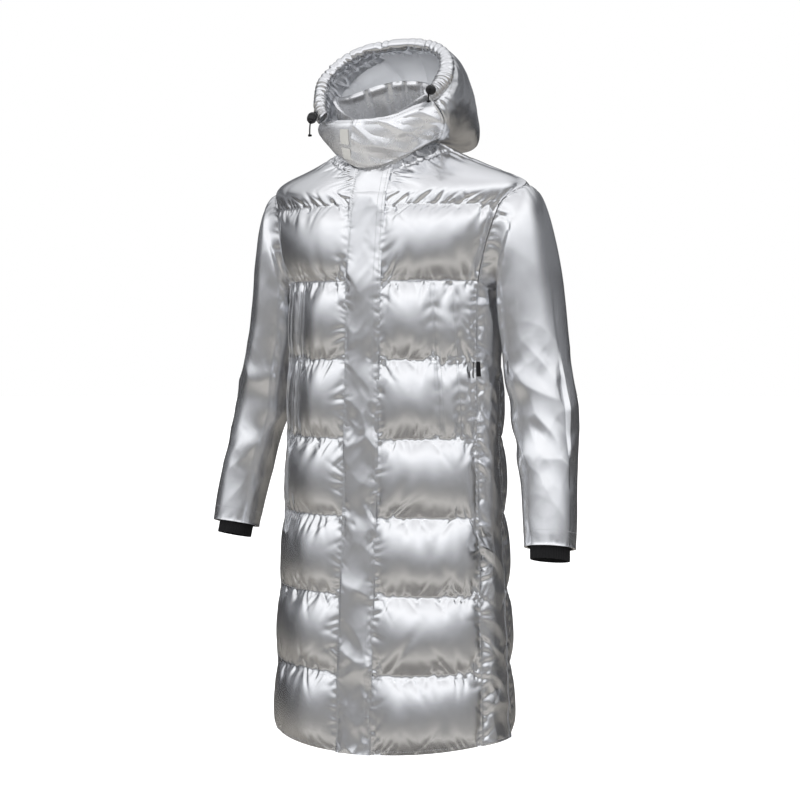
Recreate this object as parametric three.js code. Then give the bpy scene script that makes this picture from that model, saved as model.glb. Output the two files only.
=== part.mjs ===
// A long hooded puffer coat, filled out as if it were worn, in millimetres.
// +Z is up, the front faces -Y and the wearer's left is +X.
// The origin is where the wearer carries the coat: on the body's axis, at the height of the shoulders.
import * as THREE from "three";

// Driving sizes
const SEAM_GAP = 0.3; // between two pieces that are sewn together
const CLOTH = 3; // the quilted shell at a seam, where the padding is pressed flat
const FLAP_CLOTH = 2.5; // storm flap and pocket welts
const VENT_CLOTH = 1.5;
const VENT_ROWS = 9; // the vent band's length, in rows of the side panel
const LYING_GAP = 0.4; // below a piece that lies on another
const BAFFLE_PUFF = 21; // how far a baffle stands out beyond its seams
const SIDE_PUFF = 6;
const SHOULDER_FULL = 0.5; // the top baffle's share of that height
const PUFF_RISE = 52; // distance from a seam at which a baffle reaches its full height
const SIDE_RISE = 120; // and from a seam at the side, where the shell is drawn tight
const FLAP_LEFT = 41; // the storm flap's sewn edge, on the wearer's left front
const FLAP_RIGHT = -27; // its free edge, over the right front
const ZIP_HALF = 3; // half the width of the zip's closed chain
const FLAP_RIDGE = 1.5; // how far either half of the storm flap bulges
const TAG_REACH = 9; // how far the side tag stands out of its seam
const TAG_CLOTH = 1.2;
const TAG_RINGS = [4.8, 4.88, 4.97];
const SIDE_FRONT = 68; // degrees to the seam between front and side panel
const ARMHOLE_ANGLE = 0.65; // the gap between armhole and sleeve, in degrees
const ARMHOLE_RING = 0.06; // and in rings
const SLEEVE_WALL = 5; // the lightly padded sleeve
const COLLAR_WALL = 5;
const COLLAR_COLUMNS = 22;
const PATCH_CLOTH = 1.6;
const PATCH_GAP = 1; // below a patch, which spans the curve of its flap
const PATCH_ANGLES = [20, 24, 29];
const CHIN_LEFT_END = -17; // the free ends of the chin flaps, in degrees towards their own sides
const CHIN_RIGHT_END = 9;
const CHIN_LIFT = 7; // how far the left flap's free end stands out over the right flap
const CHIN_PLACES = [2, 1.5, 1, 0.5, 0]; // the places of the hood beside which the chin flaps have points
const CHIN_COLUMNS = 8;
const CHIN_ANGLE = { left: 0.45, right: 0.9 }; // the gap between chin flap and hood, in degrees
const HOOD_WALL = 3;
const LINING_WALL = 1.2;
const BRIM_REACH = 13; // half the width of the gathered tunnel round the face
const BRIM_THICK = 9; // half its thickness
const BRIM_GAP = 1.1; // between the tunnel and the hood's edge, which it meets in a curve
const BRIM_STEPS = [-90, -60, -25, 0, 15, 30, 45, 60, 75, 90]; // where it has points, as steps of the arch
const CUFF_REACH = 21; // the rib cuff below the sleeve's hem
const CUFF_INSIDE = 34; // and above it, where it is sewn to the sleeve
const CUFF_WIDE = 31; // half the rib cuff's width
const CUFF_DEEP = 43; // and half its depth from front to back
const CUFF_WALL = 2.5;
const CUFF_TAPER = 10; // the length over which the cuff narrows from the sleeve to the wrist
const CORD_RADIUS = 1.3;
const LOCK_RADIUS = 9;
const LOCK_LENGTH = 19;
const LOCK_BORE = 2.1;

const SILVER = { color: 0xc6c8cc, metalness: 0.9, roughness: 0.32 };
const LINING = { color: 0xb3b5b8, metalness: 0, roughness: 0.7 };
const RIB = { color: 0x0b0b0c, metalness: 0, roughness: 0.95 };
const PLASTIC = { color: 0x101012, metalness: 0, roughness: 0.35 };
const FASTENER = { color: 0xb9bab6, metalness: 0, roughness: 0.9 };

// The inside of the body from hem to neckline, one ring for each seam or quilting line.
// front, side and back are heights. halfWidth, frontDepth and backDepth reach from the ring's centre,
// which lies at shift along Y. A power of 2 is an ellipse, and more is boxier.
const BODY_RINGS = [
  { front: -1050, side: -1034, back: -1036, halfWidth: 220, frontDepth: 163, backDepth: 150, shift: 0, power: 2.1 },
  { front: -912, side: -906, back: -906, halfWidth: 217, frontDepth: 158, backDepth: 146, shift: 0, power: 2.1 },
  { front: -776, side: -774, back: -774, halfWidth: 212, frontDepth: 148, backDepth: 140, shift: 0, power: 2.1 },
  { front: -640, side: -640, back: -640, halfWidth: 206, frontDepth: 139, backDepth: 134, shift: 0, power: 2.1 },
  { front: -504, side: -504, back: -504, halfWidth: 202, frontDepth: 134, backDepth: 128, shift: 0, power: 2.1 },
  { front: -367, side: -367, back: -367, halfWidth: 199, frontDepth: 130, backDepth: 127, shift: 1, power: 2.1 },
  { front: -230, side: -230, back: -230, halfWidth: 200, frontDepth: 129, backDepth: 129, shift: 4, power: 2.1 },
  { front: -98, side: -98, back: -98, halfWidth: 231, frontDepth: 117, backDepth: 125, shift: 8, power: 2.1 },
  { front: -76, side: -56, back: -72, halfWidth: 241, frontDepth: 138, backDepth: 90, shift: 35, power: 2.05 },
  { front: -56, side: -26, back: -14, halfWidth: 162, frontDepth: 123, backDepth: 76, shift: 26, power: 2 },
  { front: -38, side: 16, back: 33, halfWidth: 88, frontDepth: 95, backDepth: 66, shift: 4, power: 2 },
];
const CHEST = 6; // the ring of the seam across the chest
const YOKE = 7; // the quilting line above it
const SHOULDER = 8; // the ring through the shoulder points
const NECK = 10;
const POCKET_TOP = 6; // the pocket runs over two baffles
const POCKET_BOTTOM = 4;
// The pocket's mouth and the welt's sewn edge lean towards the front as they rise.
const POCKET_MOUTH = [
  { ring: 4, angle: 43.5 },
  { ring: 6, angle: 38 },
];
const WELT_EDGE = [
  { ring: 4, angle: 57 },
  { ring: 6, angle: 51 },
];
const ARMPIT_DIP = 0.14; // how far the armhole dips below the chest seam, in rings

// The side panel's back seam and the two sides of the armhole, in degrees, by ring.
const SIDE_BACK = [
  { ring: 0, angle: 99 },
  { ring: 4, angle: 99 },
  { ring: 5, angle: 104 },
  { ring: 6, angle: 116 },
];
const ARMHOLE_FRONT = [
  { ring: 6, angle: 68 },
  { ring: 6.5, angle: 68.5 },
  { ring: 7, angle: 71 },
  { ring: 7.5, angle: 78 },
  { ring: 8, angle: 90 },
];
const ARMHOLE_BACK = [
  { ring: 6, angle: 116 },
  { ring: 6.5, angle: 119 },
  { ring: 7, angle: 115 },
  { ring: 7.5, angle: 106 },
  { ring: 8, angle: 90 },
];

// The sleeve's outside from the shoulder to its hem, after the armhole itself.
// out and forward lean the ring's plane and turned turns its front towards the body, in degrees.
const SLEEVE_RINGS = [
  { x: 230, y: 30, z: -157, halfWide: 97, halfDeep: 66, out: 73, forward: 0, turned: 0, power: 2.2 },
  { x: 239, y: 30, z: -170, halfWide: 88, halfDeep: 72, out: 68, forward: 0, turned: 3, power: 2.2 },
  { x: 245, y: 30, z: -194, halfWide: 71, halfDeep: 74, out: 57, forward: 0, turned: 6, power: 2.3 },
  { x: 251, y: 31, z: -228, halfWide: 52, halfDeep: 75, out: 37, forward: 0, turned: 10, power: 2.5 },
  { x: 255, y: 31, z: -264, halfWide: 44, halfDeep: 76, out: 12, forward: 0, turned: 13, power: 2.5 },
  { x: 261, y: 30, z: -315, halfWide: 45, halfDeep: 74, out: 7, forward: 0, turned: 15, power: 2.4 },
  { x: 270, y: 26, z: -375, halfWide: 47, halfDeep: 70, out: 7, forward: 2, turned: 15, power: 2.3 },
  { x: 281, y: 20, z: -437, halfWide: 48, halfDeep: 65, out: 7, forward: 4, turned: 15, power: 2.2 },
  { x: 293, y: 10, z: -510, halfWide: 48, halfDeep: 60, out: 7, forward: 8, turned: 15, power: 2.1 },
  { x: 303, y: -3, z: -575, halfWide: 46, halfDeep: 56, out: 7, forward: 10, turned: 15, power: 2.1 },
  { x: 311, y: -15, z: -635, halfWide: 44, halfDeep: 53, out: 7, forward: 10, turned: 15, power: 2.1 },
  { x: 316, y: -26, z: -690, halfWide: 42, halfDeep: 50, out: 7, forward: 11, turned: 15, power: 2.1 },
];
const SLEEVE_PLACES = [0, 0.5, 1, 2, 3, 4, 5, 5.5, 6, 6.5, 7, 7.5, 8, 8.5, 9, 9.5, 10, 11, 12];
const RIGHT_SHORTENED = 0.965; // the right sleeve is pushed up a little below the armpit
// The sleeve's largest folds: along is in sleeve rings, around in degrees from the outer side to the front.
const SLEEVE_FOLDS = [
  { along: 7.6, around: 110, lift: 5, length: 0.35, breadth: 60 },
  { along: 8.5, around: 150, lift: 6, length: 0.3, breadth: 55 },
  { along: 9.5, around: 120, lift: 4, length: 0.3, breadth: 50 },
  { along: 8.0, around: 250, lift: 5, length: 0.35, breadth: 60 },
];

// The throat, from the neckline (rise 0) to the top of the chin flaps (rise 1).
// On the right the chin flaps are lower.
const THROAT_TOP = {
  left: { front: 52, side: 98, back: 130, halfWidth: 114, frontDepth: 112, backDepth: 80, shift: 0, power: 2.2 },
  right: { front: 52, side: 60, back: 130, halfWidth: 112, frontDepth: 112, backDepth: 80, shift: 0, power: 2.2 },
};
// How far the throat bulges half way up. A low power makes it bulge from the neckline on.
const THROAT_BELLY = {
  left: { front: 9, side: 30, power: 0.5 },
  right: { front: 9, side: 35, power: 0.33 },
};
const COLLAR_TOP = { front: 50, side: 104, back: 136, halfWidth: 102, frontDepth: 70, backDepth: 68, shift: -28, power: 2 };
const COLLAR_INSET = 1.8; // the collar's outer face lies this far inside the neckline
const COLLAR_INSIDE = 6; // how far the collar reaches down inside the neckline

// The hood's arches from the face to the nape. Each rises from a foot on the throat, over its widest
// point on either side, to its top on the centre line. round is lower where the arch is squarer.
const HOOD_ARCHES = [
  { topY: 40, topZ: 200, wide: 124, wideY: -30, wideZ: 118, footAngle: 62, footRise: 0.92, round: 0.8 },
  { topY: 72, topZ: 204, wide: 131, wideY: -4, wideZ: 102, footAngle: 70, footRise: 0.5, round: 0.86 },
  { topY: 108, topZ: 190, wide: 132, wideY: 22, wideZ: 86, footAngle: 78, footRise: 0.06, round: 0.9 },
  { topY: 138, topZ: 158, wide: 130, wideY: 52, wideZ: 66, footAngle: 94, footRise: 0, round: 0.9 },
  { topY: 152, topZ: 106, wide: 124, wideY: 82, wideZ: 44, footAngle: 110, footRise: 0, round: 0.9 },
  { topY: 156, topZ: 62, wide: 113, wideY: 106, wideZ: 24, footAngle: 126, footRise: 0, round: 0.9 },
  { topY: 148, topZ: 24, wide: 94, wideY: 116, wideZ: 10, footAngle: 140, footRise: 0, round: 0.9 },
  { topY: 126, topZ: 12, wide: 66, wideY: 108, wideZ: 14, footAngle: 152, footRise: 0, round: 0.9 },
  { topY: 100, topZ: 24, wide: 40, wideY: 92, wideZ: 26, footAngle: 163, footRise: 0, round: 0.9 },
  { topY: 78, topZ: 37, wide: 20, wideY: 76, wideZ: 37, footAngle: 171, footRise: 0, round: 0.9 },
];
// Where the points of a half arch lie: -90 is its foot, 0 its widest point and 90 its top.
const ARCH_STEPS = [-90, -45, 0, 22, 44, 66, 90];

const DEG = Math.PI / 180;
const lerp = THREE.MathUtils.lerp;
const range = (count) => Array.from({ length: count }, (_, i) => i);

// A row between the rows of a table, every column on a smooth curve through the rows.
function rowAt(table, at) {
  const low = Math.min(Math.max(Math.floor(at), 0), table.length - 2);
  const t = at - low;
  const pick = (i) => table[Math.min(Math.max(i, 0), table.length - 1)];
  const [a, b, c, d] = [pick(low - 1), pick(low), pick(low + 1), pick(low + 2)];
  const row = {};
  for (const key of Object.keys(b)) row[key] = smooth(a[key], b[key], c[key], d[key], t);
  return row;
}

function smooth(a, b, c, d, t) {
  return b + 0.5 * t * (c - a + t * (2 * a - 5 * b + 4 * c - d + t * (3 * (b - c) + d - a)));
}

// The angle that a list of ring and angle gives for a ring.
function angleFrom(list, ring) {
  const next = Math.max(1, list.findIndex((row) => row.ring >= ring));
  const [a, b] = [list[next - 1], list[next]];
  return lerp(a.angle, b.angle, THREE.MathUtils.clamp((ring - a.ring) / (b.ring - a.ring), 0, 1));
}

// A point of a ring, angle degrees round from the centre front towards the wearer's left.
function ringPoint(row, angle) {
  const [s, c] = [Math.sin(angle * DEG), Math.cos(angle * DEG)];
  const bend = (v) => Math.sign(v) * Math.abs(v) ** (2 / row.power);
  const ahead = c > 0;
  return new THREE.Vector3(
    row.halfWidth * bend(s),
    row.shift - (ahead ? row.frontDepth : row.backDepth) * bend(c),
    row.side + ((ahead ? row.front : row.back) - row.side) * c * c,
  );
}

const bodyPoint = (ring, angle) => ringPoint(rowAt(BODY_RINGS, ring), angle);

function bodyNormal(ring, angle) {
  const step = 0.02;
  const [low, high] = [Math.max(ring - step, 0), Math.min(ring + step, NECK)];
  const up = bodyPoint(high, angle).sub(bodyPoint(low, angle));
  const round = bodyPoint(ring, angle + 1).sub(bodyPoint(ring, angle - 1));
  return round.cross(up).normalize();
}

const bodyOut = (ring, angle, height) => bodyPoint(ring, angle).addScaledVector(bodyNormal(ring, angle), height);

// The angle at which a ring's front is x from the centre.
function angleAtX(ring, x) {
  const row = rowAt(BODY_RINGS, ring);
  return (Math.sign(x) * Math.asin((Math.abs(x) / row.halfWidth) ** (row.power / 2))) / DEG;
}

// A closed solid between two grids of points with the same rows and columns.
// round joins the last column to the first, so that the wall is a tube.
function wall(outer, inner, round = false) {
  const [rows, columns] = [outer.length, outer[0].length];
  const points = [...outer.flat(), ...inner.flat()];
  const at = (side, i, j) => side * rows * columns + i * columns + (j % columns);
  const faces = [];
  const quad = (a, b, c, d) => faces.push(a, b, c, a, c, d);
  const across = round ? columns : columns - 1;
  for (const i of range(rows - 1))
    for (const j of range(across)) {
      quad(at(0, i, j), at(0, i, j + 1), at(0, i + 1, j + 1), at(0, i + 1, j));
      quad(at(1, i, j), at(1, i + 1, j), at(1, i + 1, j + 1), at(1, i, j + 1));
    }
  for (const j of range(across)) {
    quad(at(1, 0, j), at(1, 0, j + 1), at(0, 0, j + 1), at(0, 0, j));
    quad(at(0, rows - 1, j), at(0, rows - 1, j + 1), at(1, rows - 1, j + 1), at(1, rows - 1, j));
  }
  if (!round)
    for (const i of range(rows - 1)) {
      quad(at(1, i, 0), at(0, i, 0), at(0, i + 1, 0), at(1, i + 1, 0));
      quad(at(0, i, columns - 1), at(1, i, columns - 1), at(1, i + 1, columns - 1), at(0, i + 1, columns - 1));
    }
  return solidFrom(points, faces);
}

// A closed solid through rings of points, with a flat cap at either end.
function loft(rings) {
  const sides = rings[0].length;
  const points = rings.flat();
  const faces = [];
  for (const i of range(rings.length - 1))
    for (const j of range(sides)) {
      const [a, b] = [i * sides + j, i * sides + ((j + 1) % sides)];
      faces.push(a, b, b + sides, a, b + sides, a + sides);
    }
  const last = (rings.length - 1) * sides;
  for (const j of range(sides - 2)) {
    faces.push(0, j + 2, j + 1);
    faces.push(last, last + j + 1, last + j + 2);
  }
  return solidFrom(points, faces);
}

// A geometry whose faces point out, whichever way round its points were given.
function solidFrom(points, faces) {
  const volume = range(faces.length / 3).reduce((sum, i) => {
    const [a, b, c] = [points[faces[3 * i]], points[faces[3 * i + 1]], points[faces[3 * i + 2]]];
    return sum + a.dot(b.clone().cross(c));
  }, 0);
  const index = volume > 0 ? faces : faces.slice().reverse();
  const geometry = new THREE.BufferGeometry().setFromPoints(points).setIndex(index);
  geometry.computeVertexNormals();
  return geometry;
}

const mirrored = (grid) => grid.map((row) => row.map((p) => new THREE.Vector3(-p.x, p.y, p.z)));

// The unit normals of a grid, from its neighbouring points.
function gridNormals(grid, round) {
  const [rows, columns] = [grid.length, grid[0].length];
  const column = (j) => (round ? (j + columns) % columns : THREE.MathUtils.clamp(j, 0, columns - 1));
  return grid.map((row, i) =>
    row.map((_, j) => {
      const up = grid[Math.min(i + 1, rows - 1)][j].clone().sub(grid[Math.max(i - 1, 0)][j]);
      const along = row[column(j + 1)].clone().sub(row[column(j - 1)]);
      return along.cross(up).normalize();
    }),
  );
}

const moved = (grid, normals, distance) =>
  grid.map((row, i) => row.map((p, j) => p.clone().addScaledVector(normals[i][j], distance)));

// Heights at which a quilted panel has points: more of them close to its quilting lines.
const BAFFLE_STEPS = [0, 0.16, 0.5, 0.84];
const quiltRows = (from, to) => [...range(to - from).flatMap((n) => BAFFLE_STEPS.map((t) => from + n + t)), to];
const LOWER_ROWS = quiltRows(0, CHEST);
const UPPER_ROWS = [6, 6.16, 6.5, 6.84, 7, 7.5, 8, 8.6, 9.3, NECK];

// How full the padding is between two quilting lines, from 0 at a line to 1 half way.
function fullness(ring) {
  const t = ring <= YOKE ? ring - Math.floor(ring) : (ring - YOKE) / (NECK - YOKE);
  return Math.sin(Math.PI * Math.min(t, 1)) ** 0.6;
}

// How full it is at a distance from the nearest upright seam.
const rise = (distance, reach) => Math.sin((Math.min(distance / reach, 1) * Math.PI) / 2) ** 0.7;

// The grids of a quilted panel. angles gives a row's columns, sewn says which of them are seams,
// and slow says which of the panel's two ends rise slowly.
function panelGrids({ rows, angles, sewn, puff, slow = [false, false] }) {
  const [inner, outer] = [[], []];
  rows.forEach((row, i) => {
    const ring = i === 0 ? row + SEAM_RING : i === rows.length - 1 ? row - SEAM_RING : row;
    const list = angles(row);
    const places = [list[0] + SEAM_ANGLE, ...list.slice(1, -1), list[list.length - 1] - SEAM_ANGLE];
    const base = places.map((angle) => bodyPoint(ring, angle));
    const along = base.map((p, j) => (j ? p.distanceTo(base[j - 1]) : 0));
    along.forEach((_, j) => (along[j] += j ? along[j - 1] : 0));
    const seams = sewn(row).map((j) => along[j]);
    const last = along.length - 1;
    inner.push(base);
    outer.push(
      base.map((_, j) => {
        const near = Math.min(...seams.map((s) => Math.abs(s - along[j])));
        const first = slow[0] ? rise(along[j], SIDE_RISE) : 1;
        const end = slow[1] ? rise(along[last] - along[j], SIDE_RISE) : 1;
        const full = fullness(row) * Math.min(rise(near, PUFF_RISE), first, end);
        return bodyOut(ring, places[j], CLOTH + puff(row, j) * full);
      }),
    );
  });
  return { inner, outer };
}

// Columns of the fronts. The first three run under the storm flap, where the fronts are flat.
const FRONT_STEPS = [0.06, 0.2, 0.42, 0.68];
const [BAND, POCKET_COLUMN, WELT_COLUMN, LAST_COLUMN] = [2, 7, 9, 11];

function frontAngles(ring, side) {
  const edges = side > 0 ? [ZIP_HALF, FLAP_LEFT / 2, FLAP_LEFT] : [ZIP_HALF, -FLAP_RIGHT / 2, -FLAP_RIGHT];
  const band = edges.map((x) => angleAtX(ring, x));
  const [mouth, edge] = [angleFrom(POCKET_MOUTH, ring), angleFrom(WELT_EDGE, ring)];
  const main = FRONT_STEPS.map((t) => lerp(band[BAND], mouth, t));
  return [...band, ...main, mouth, (mouth + edge) / 2, edge, (edge + SIDE_FRONT) / 2, SIDE_FRONT];
}

function frontSewn(row) {
  const pocketRow = row > POCKET_BOTTOM && row < POCKET_TOP;
  return pocketRow ? [BAND, POCKET_COLUMN, WELT_COLUMN, LAST_COLUMN] : [BAND, LAST_COLUMN];
}

const flatInBand = (row, j) => (j <= BAND ? 0 : BAFFLE_PUFF);

function lowerFront(side) {
  const angles = (ring) => frontAngles(ring, side);
  return panelGrids({ rows: LOWER_ROWS, angles, sewn: frontSewn, puff: flatInBand, slow: [false, true] });
}

const upperEdge = (list, ring) => (ring < SHOULDER ? angleFrom(list, ring) : 90);

function upperFront(side) {
  const steps = [0.07, 0.22, 0.42, 0.62, 0.8, 0.93, 1];
  const angles = (ring) => {
    const band = frontAngles(ring, side).slice(0, BAND + 1);
    const edge = upperEdge(ARMHOLE_FRONT, ring);
    return [...band, ...steps.map((t) => lerp(band[BAND], edge, t))];
  };
  const puff = (row, j) => flatInBand(row, j) * (row > YOKE ? SHOULDER_FULL : 1);
  return panelGrids({ rows: UPPER_ROWS, angles, sewn: () => [BAND, BAND + steps.length], puff });
}

const SIDE_STEPS = [0, 0.25, 0.5, 0.75, 0.89, 1];
const SEAM_ANGLE = 0.045; // half a seam's gap, in degrees
const SEAM_RING = 0.0012; // and in rings

// The side panel's rings sink towards the armpit, so that its top edge is the bottom of the armhole.
const dipped = (row, t) => row - ARMPIT_DIP * Math.max(0, row - CHEST + 1) * Math.sin(Math.PI * t);

function sidePanel() {
  const grid = (height) =>
    LOWER_ROWS.map((row) =>
      SIDE_STEPS.map((t) => {
        const angle = lerp(SIDE_FRONT + SEAM_ANGLE, angleFrom(SIDE_BACK, row) - SEAM_ANGLE, t);
        const full = Math.sin(Math.PI * t) ** 0.6 * Math.min(1, (CHEST - row) * 3);
        return bodyOut(dipped(row, t) - SEAM_RING, angle, height && height + SIDE_PUFF * full);
      }),
    );
  return { inner: grid(0), outer: grid(CLOTH) };
}

const BACK_STEPS = [0, 0.03, 0.1, 0.2, 0.32, 0.44, 0.56, 0.68, 0.8, 0.9, 0.97, 1];

function backPanel(rows, edge, puff, slow) {
  const angles = (ring) => BACK_STEPS.map((t) => lerp(edge(ring), 360 - edge(ring), t));
  return panelGrids({ rows, angles, sewn: () => [0, BACK_STEPS.length - 1], puff, slow: [slow, slow] });
}

const lowerBack = () => backPanel(LOWER_ROWS, (ring) => angleFrom(SIDE_BACK, ring), () => BAFFLE_PUFF, true);

function upperBack() {
  const puff = (row) => (row > YOKE ? SHOULDER_FULL : 1) * BAFFLE_PUFF;
  return backPanel(UPPER_ROWS, (ring) => upperEdge(ARMHOLE_BACK, ring), puff, false);
}

// The storm flap lies on the flat bands of both fronts and on the zip between them.
function stormFlap() {
  const rows = [...LOWER_ROWS, ...UPPER_ROWS.slice(1, -1), NECK - ARMHOLE_RING];
  const columns = [FLAP_RIGHT, FLAP_RIGHT / 2, -ZIP_HALF, ZIP_HALF, FLAP_LEFT / 2, FLAP_LEFT - 1];
  const under = CLOTH + LYING_GAP;
  const grid = (heights) =>
    rows.map((ring) => columns.map((x, j) => bodyOut(ring, angleAtX(ring, x), under + heights[j])));
  const halfWay = [0, FLAP_RIDGE, 0, 0, FLAP_RIDGE, 0];
  return { inner: grid(halfWay.map(() => 0)), outer: grid(halfWay.map((ridge) => FLAP_CLOTH + ridge)) };
}

function zipChain() {
  const rows = [...LOWER_ROWS, ...UPPER_ROWS.slice(1)];
  const reach = ZIP_HALF - SEAM_GAP;
  const grid = (height) => rows.map((ring) => [-reach, reach].map((x) => bodyOut(ring, angleAtX(ring, x), height)));
  return { inner: grid(0), outer: grid(CLOTH - SEAM_GAP) };
}

// A piece that lies on a panel, made from some of the panel's own points, moved out.
function lifted(panel, rows, columns, cloth) {
  const grid = (extra) =>
    rows.map((i) =>
      columns.map((j) => {
        const [p, q] = [panel.outer[i][j], panel.inner[i][j]];
        return p.clone().addScaledVector(p.clone().sub(q).normalize(), LYING_GAP + extra);
      }),
    );
  return { inner: grid(0), outer: grid(cloth) };
}

// A pocket welt lies on the front panel, over two of its baffles.
function pocketWelt(panel) {
  const first = BAFFLE_STEPS.length * POCKET_BOTTOM + 1;
  const last = BAFFLE_STEPS.length * POCKET_TOP - 1;
  const rows = range(last - first + 1).map((i) => first + i);
  return lifted(panel, rows, [POCKET_COLUMN, POCKET_COLUMN + 1, WELT_COLUMN], FLAP_CLOTH);
}

// The band of the side vent lies along the side panel's back edge.
function ventBand(panel) {
  const last = SIDE_STEPS.length - 1;
  return lifted(panel, range(VENT_ROWS), [last - 1, last], VENT_CLOTH);
}

// A small folded tag stands out of the left side seam, just below a quilting line.
function sideTag() {
  const rows = TAG_RINGS;
  const grid = (side) =>
    rows.map((ring) => [0, TAG_REACH].map((reach) => {
      const out = bodyOut(ring, SIDE_FRONT, CLOTH + LYING_GAP + reach);
      const round = bodyPoint(ring, SIDE_FRONT + 1).sub(bodyPoint(ring, SIDE_FRONT)).normalize();
      return out.addScaledVector(round, side * TAG_CLOTH / 2);
    }));
  return { outer: grid(1), inner: grid(-1) };
}

// The sewn edge of the armhole, from the shoulder point down the front, under the arm and up the back.
// Each point lies beside a point of the panel that it is sewn to. height is 0 on the inside.
function armholeLoop(height) {
  const rows = UPPER_ROWS.filter((row) => row < SHOULDER).reverse();
  const corner = (side) => angleFrom(side < 0 ? ARMHOLE_FRONT : ARMHOLE_BACK, CHEST);
  const path = [
    [SHOULDER - ARMHOLE_RING, 90],
    ...rows.map((ring) => [ring, angleFrom(ARMHOLE_FRONT, ring) + ARMHOLE_ANGLE]),
    ...SIDE_STEPS.slice(1, -1).map((t) => [dipped(CHEST, t) + ARMHOLE_RING / 4, lerp(corner(-1), corner(1), t)]),
    ...rows.reverse().map((ring) => [ring, angleFrom(ARMHOLE_BACK, ring) - ARMHOLE_ANGLE]),
  ];
  return path.map(([ring, angle]) => bodyOut(ring, angle, height));
}

function sleeveRing(row, turns) {
  const across = new THREE.Vector3(Math.cos(row.out * DEG), 0, Math.sin(row.out * DEG));
  const deep = new THREE.Vector3(0, -Math.cos(row.forward * DEG), Math.sin(row.forward * DEG));
  for (const axis of [across, deep]) axis.applyAxisAngle(new THREE.Vector3(0, 0, 1), -row.turned * DEG);
  const bend = (v) => Math.sign(v) * Math.abs(v) ** (2 / row.power);
  return turns.map((turn) => {
    return new THREE.Vector3(row.x, row.y, row.z)
      .addScaledVector(across, row.halfWide * bend(Math.cos(turn)))
      .addScaledVector(deep, row.halfDeep * bend(Math.sin(turn)));
  });
}

// The rings of a sleeve that is shortened below the armpit.
function sleeveRows(shortened) {
  const armpit = SLEEVE_RINGS[4].z;
  return SLEEVE_RINGS.map((row) => ({ ...row, z: Math.max(row.z, armpit) + shortened * Math.min(row.z - armpit, 0) }));
}

// A sleeve's grids, on the wearer's left: rings on a smooth path from the armhole to the hem.
function sleeve(shortened) {
  const loop = armholeLoop(CLOTH);
  const count = loop.length;
  const sides = loop.map((p, k) => p.distanceTo(loop[(k + 1) % count]));
  const whole = sides.reduce((sum, side) => sum + side);
  const turns = sides.map((_, k) => (2 * Math.PI * sides.slice(0, k).reduce((sum, side) => sum + side, 0)) / whole);
  const keys = [loop, ...sleeveRows(shortened).map((row) => sleeveRing(row, turns))];
  const pick = (i) => keys[THREE.MathUtils.clamp(i, 0, keys.length - 1)];
  const plain = SLEEVE_PLACES.map((place) => {
    const low = Math.min(Math.floor(place), keys.length - 2);
    return range(count).map((k) => {
      const four = [-1, 0, 1, 2].map((n) => pick(low + n)[k]);
      const curve = (axis) => smooth(...four.map((p) => p[axis]), place - low);
      return new THREE.Vector3(curve("x"), curve("y"), curve("z"));
    });
  });
  const normals = gridNormals(plain, true);
  const facing = normals[9][0].x > 0 ? 1 : -1;
  const outer = plain.map((ring, i) =>
    ring.map((p, k) => p.clone().addScaledVector(normals[i][k], facing * foldLift(SLEEVE_PLACES[i], turns[k] / DEG))),
  );
  const inner = moved(plain, normals, -facing * SLEEVE_WALL);
  inner[0] = armholeLoop(0);
  return { outer, inner };
}

function foldLift(along, around) {
  return SLEEVE_FOLDS.reduce((sum, fold) => {
    const [u, v] = [(along - fold.along) / fold.length, (around - fold.around) / fold.breadth];
    return sum + fold.lift * Math.exp(-u * u - v * v);
  }, 0);
}

// The rib cuff is sewn inside the sleeve, narrows to the wrist and reaches out below the hem.
function cuff(shortened) {
  const [above, hem] = sleeveRows(shortened).slice(-2);
  const axis = new THREE.Vector3(hem.x - above.x, hem.y - above.y, hem.z - above.z).normalize();
  const sewn = SLEEVE_WALL + SEAM_GAP;
  const stations = [
    { along: -CUFF_INSIDE, wide: hem.halfWide - sewn, deep: hem.halfDeep - sewn },
    { along: CUFF_TAPER - CUFF_INSIDE, wide: CUFF_WIDE, deep: CUFF_DEEP },
    { along: CUFF_REACH, wide: CUFF_WIDE - 1, deep: CUFF_DEEP - 1 },
  ];
  const grid = (less) =>
    stations.map(({ along, wide, deep }) => {
      const row = { ...hem, halfWide: wide - less, halfDeep: deep - less, power: 2 };
      return sleeveRing(row, range(16).map((k) => (k * Math.PI) / 8)).map((p) => p.addScaledVector(axis, along));
    });
  return { outer: grid(0), inner: grid(CUFF_WALL) };
}

// The stand collar rises inside the neckline and leans forward.
function collar() {
  const heights = [-1, 0, 0.36, 0.73, 1];
  const outer = heights.map((h) =>
    range(COLLAR_COLUMNS).map((k) => {
      const angle = (360 * k) / COLLAR_COLUMNS;
      const low = bodyPoint(NECK, angle);
      const inward = new THREE.Vector3(-low.x, -low.y, 0).normalize();
      low.addScaledVector(inward, COLLAR_INSET);
      return h < 0 ? low.setZ(low.z - COLLAR_INSIDE) : low.lerp(ringPoint(COLLAR_TOP, angle), h);
    }),
  );
  const normals = gridNormals(outer, true);
  const facing = normals[2][0].y < 0 ? 1 : -1;
  return { outer, inner: moved(outer, normals, -facing * COLLAR_WALL) };
}

// A point of the throat: rise 0 is the neckline, rise 1 the top of the chin flaps.
function throatPoint(angle, height, side, lift = 0) {
  const low = bodyOut(NECK, angle, CLOTH + LYING_GAP);
  const point = low.lerp(ringPoint(THROAT_TOP[side], angle), height);
  const [s, c] = [Math.sin(angle * DEG), Math.cos(angle * DEG)];
  const full = THROAT_BELLY[side];
  const belly = lerp(full.front, full.side, s * s) * Math.sin(Math.PI * Math.min(height, 1)) ** full.power;
  return point.addScaledVector(new THREE.Vector3(s, -c, 0), belly + lift);
}

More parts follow.
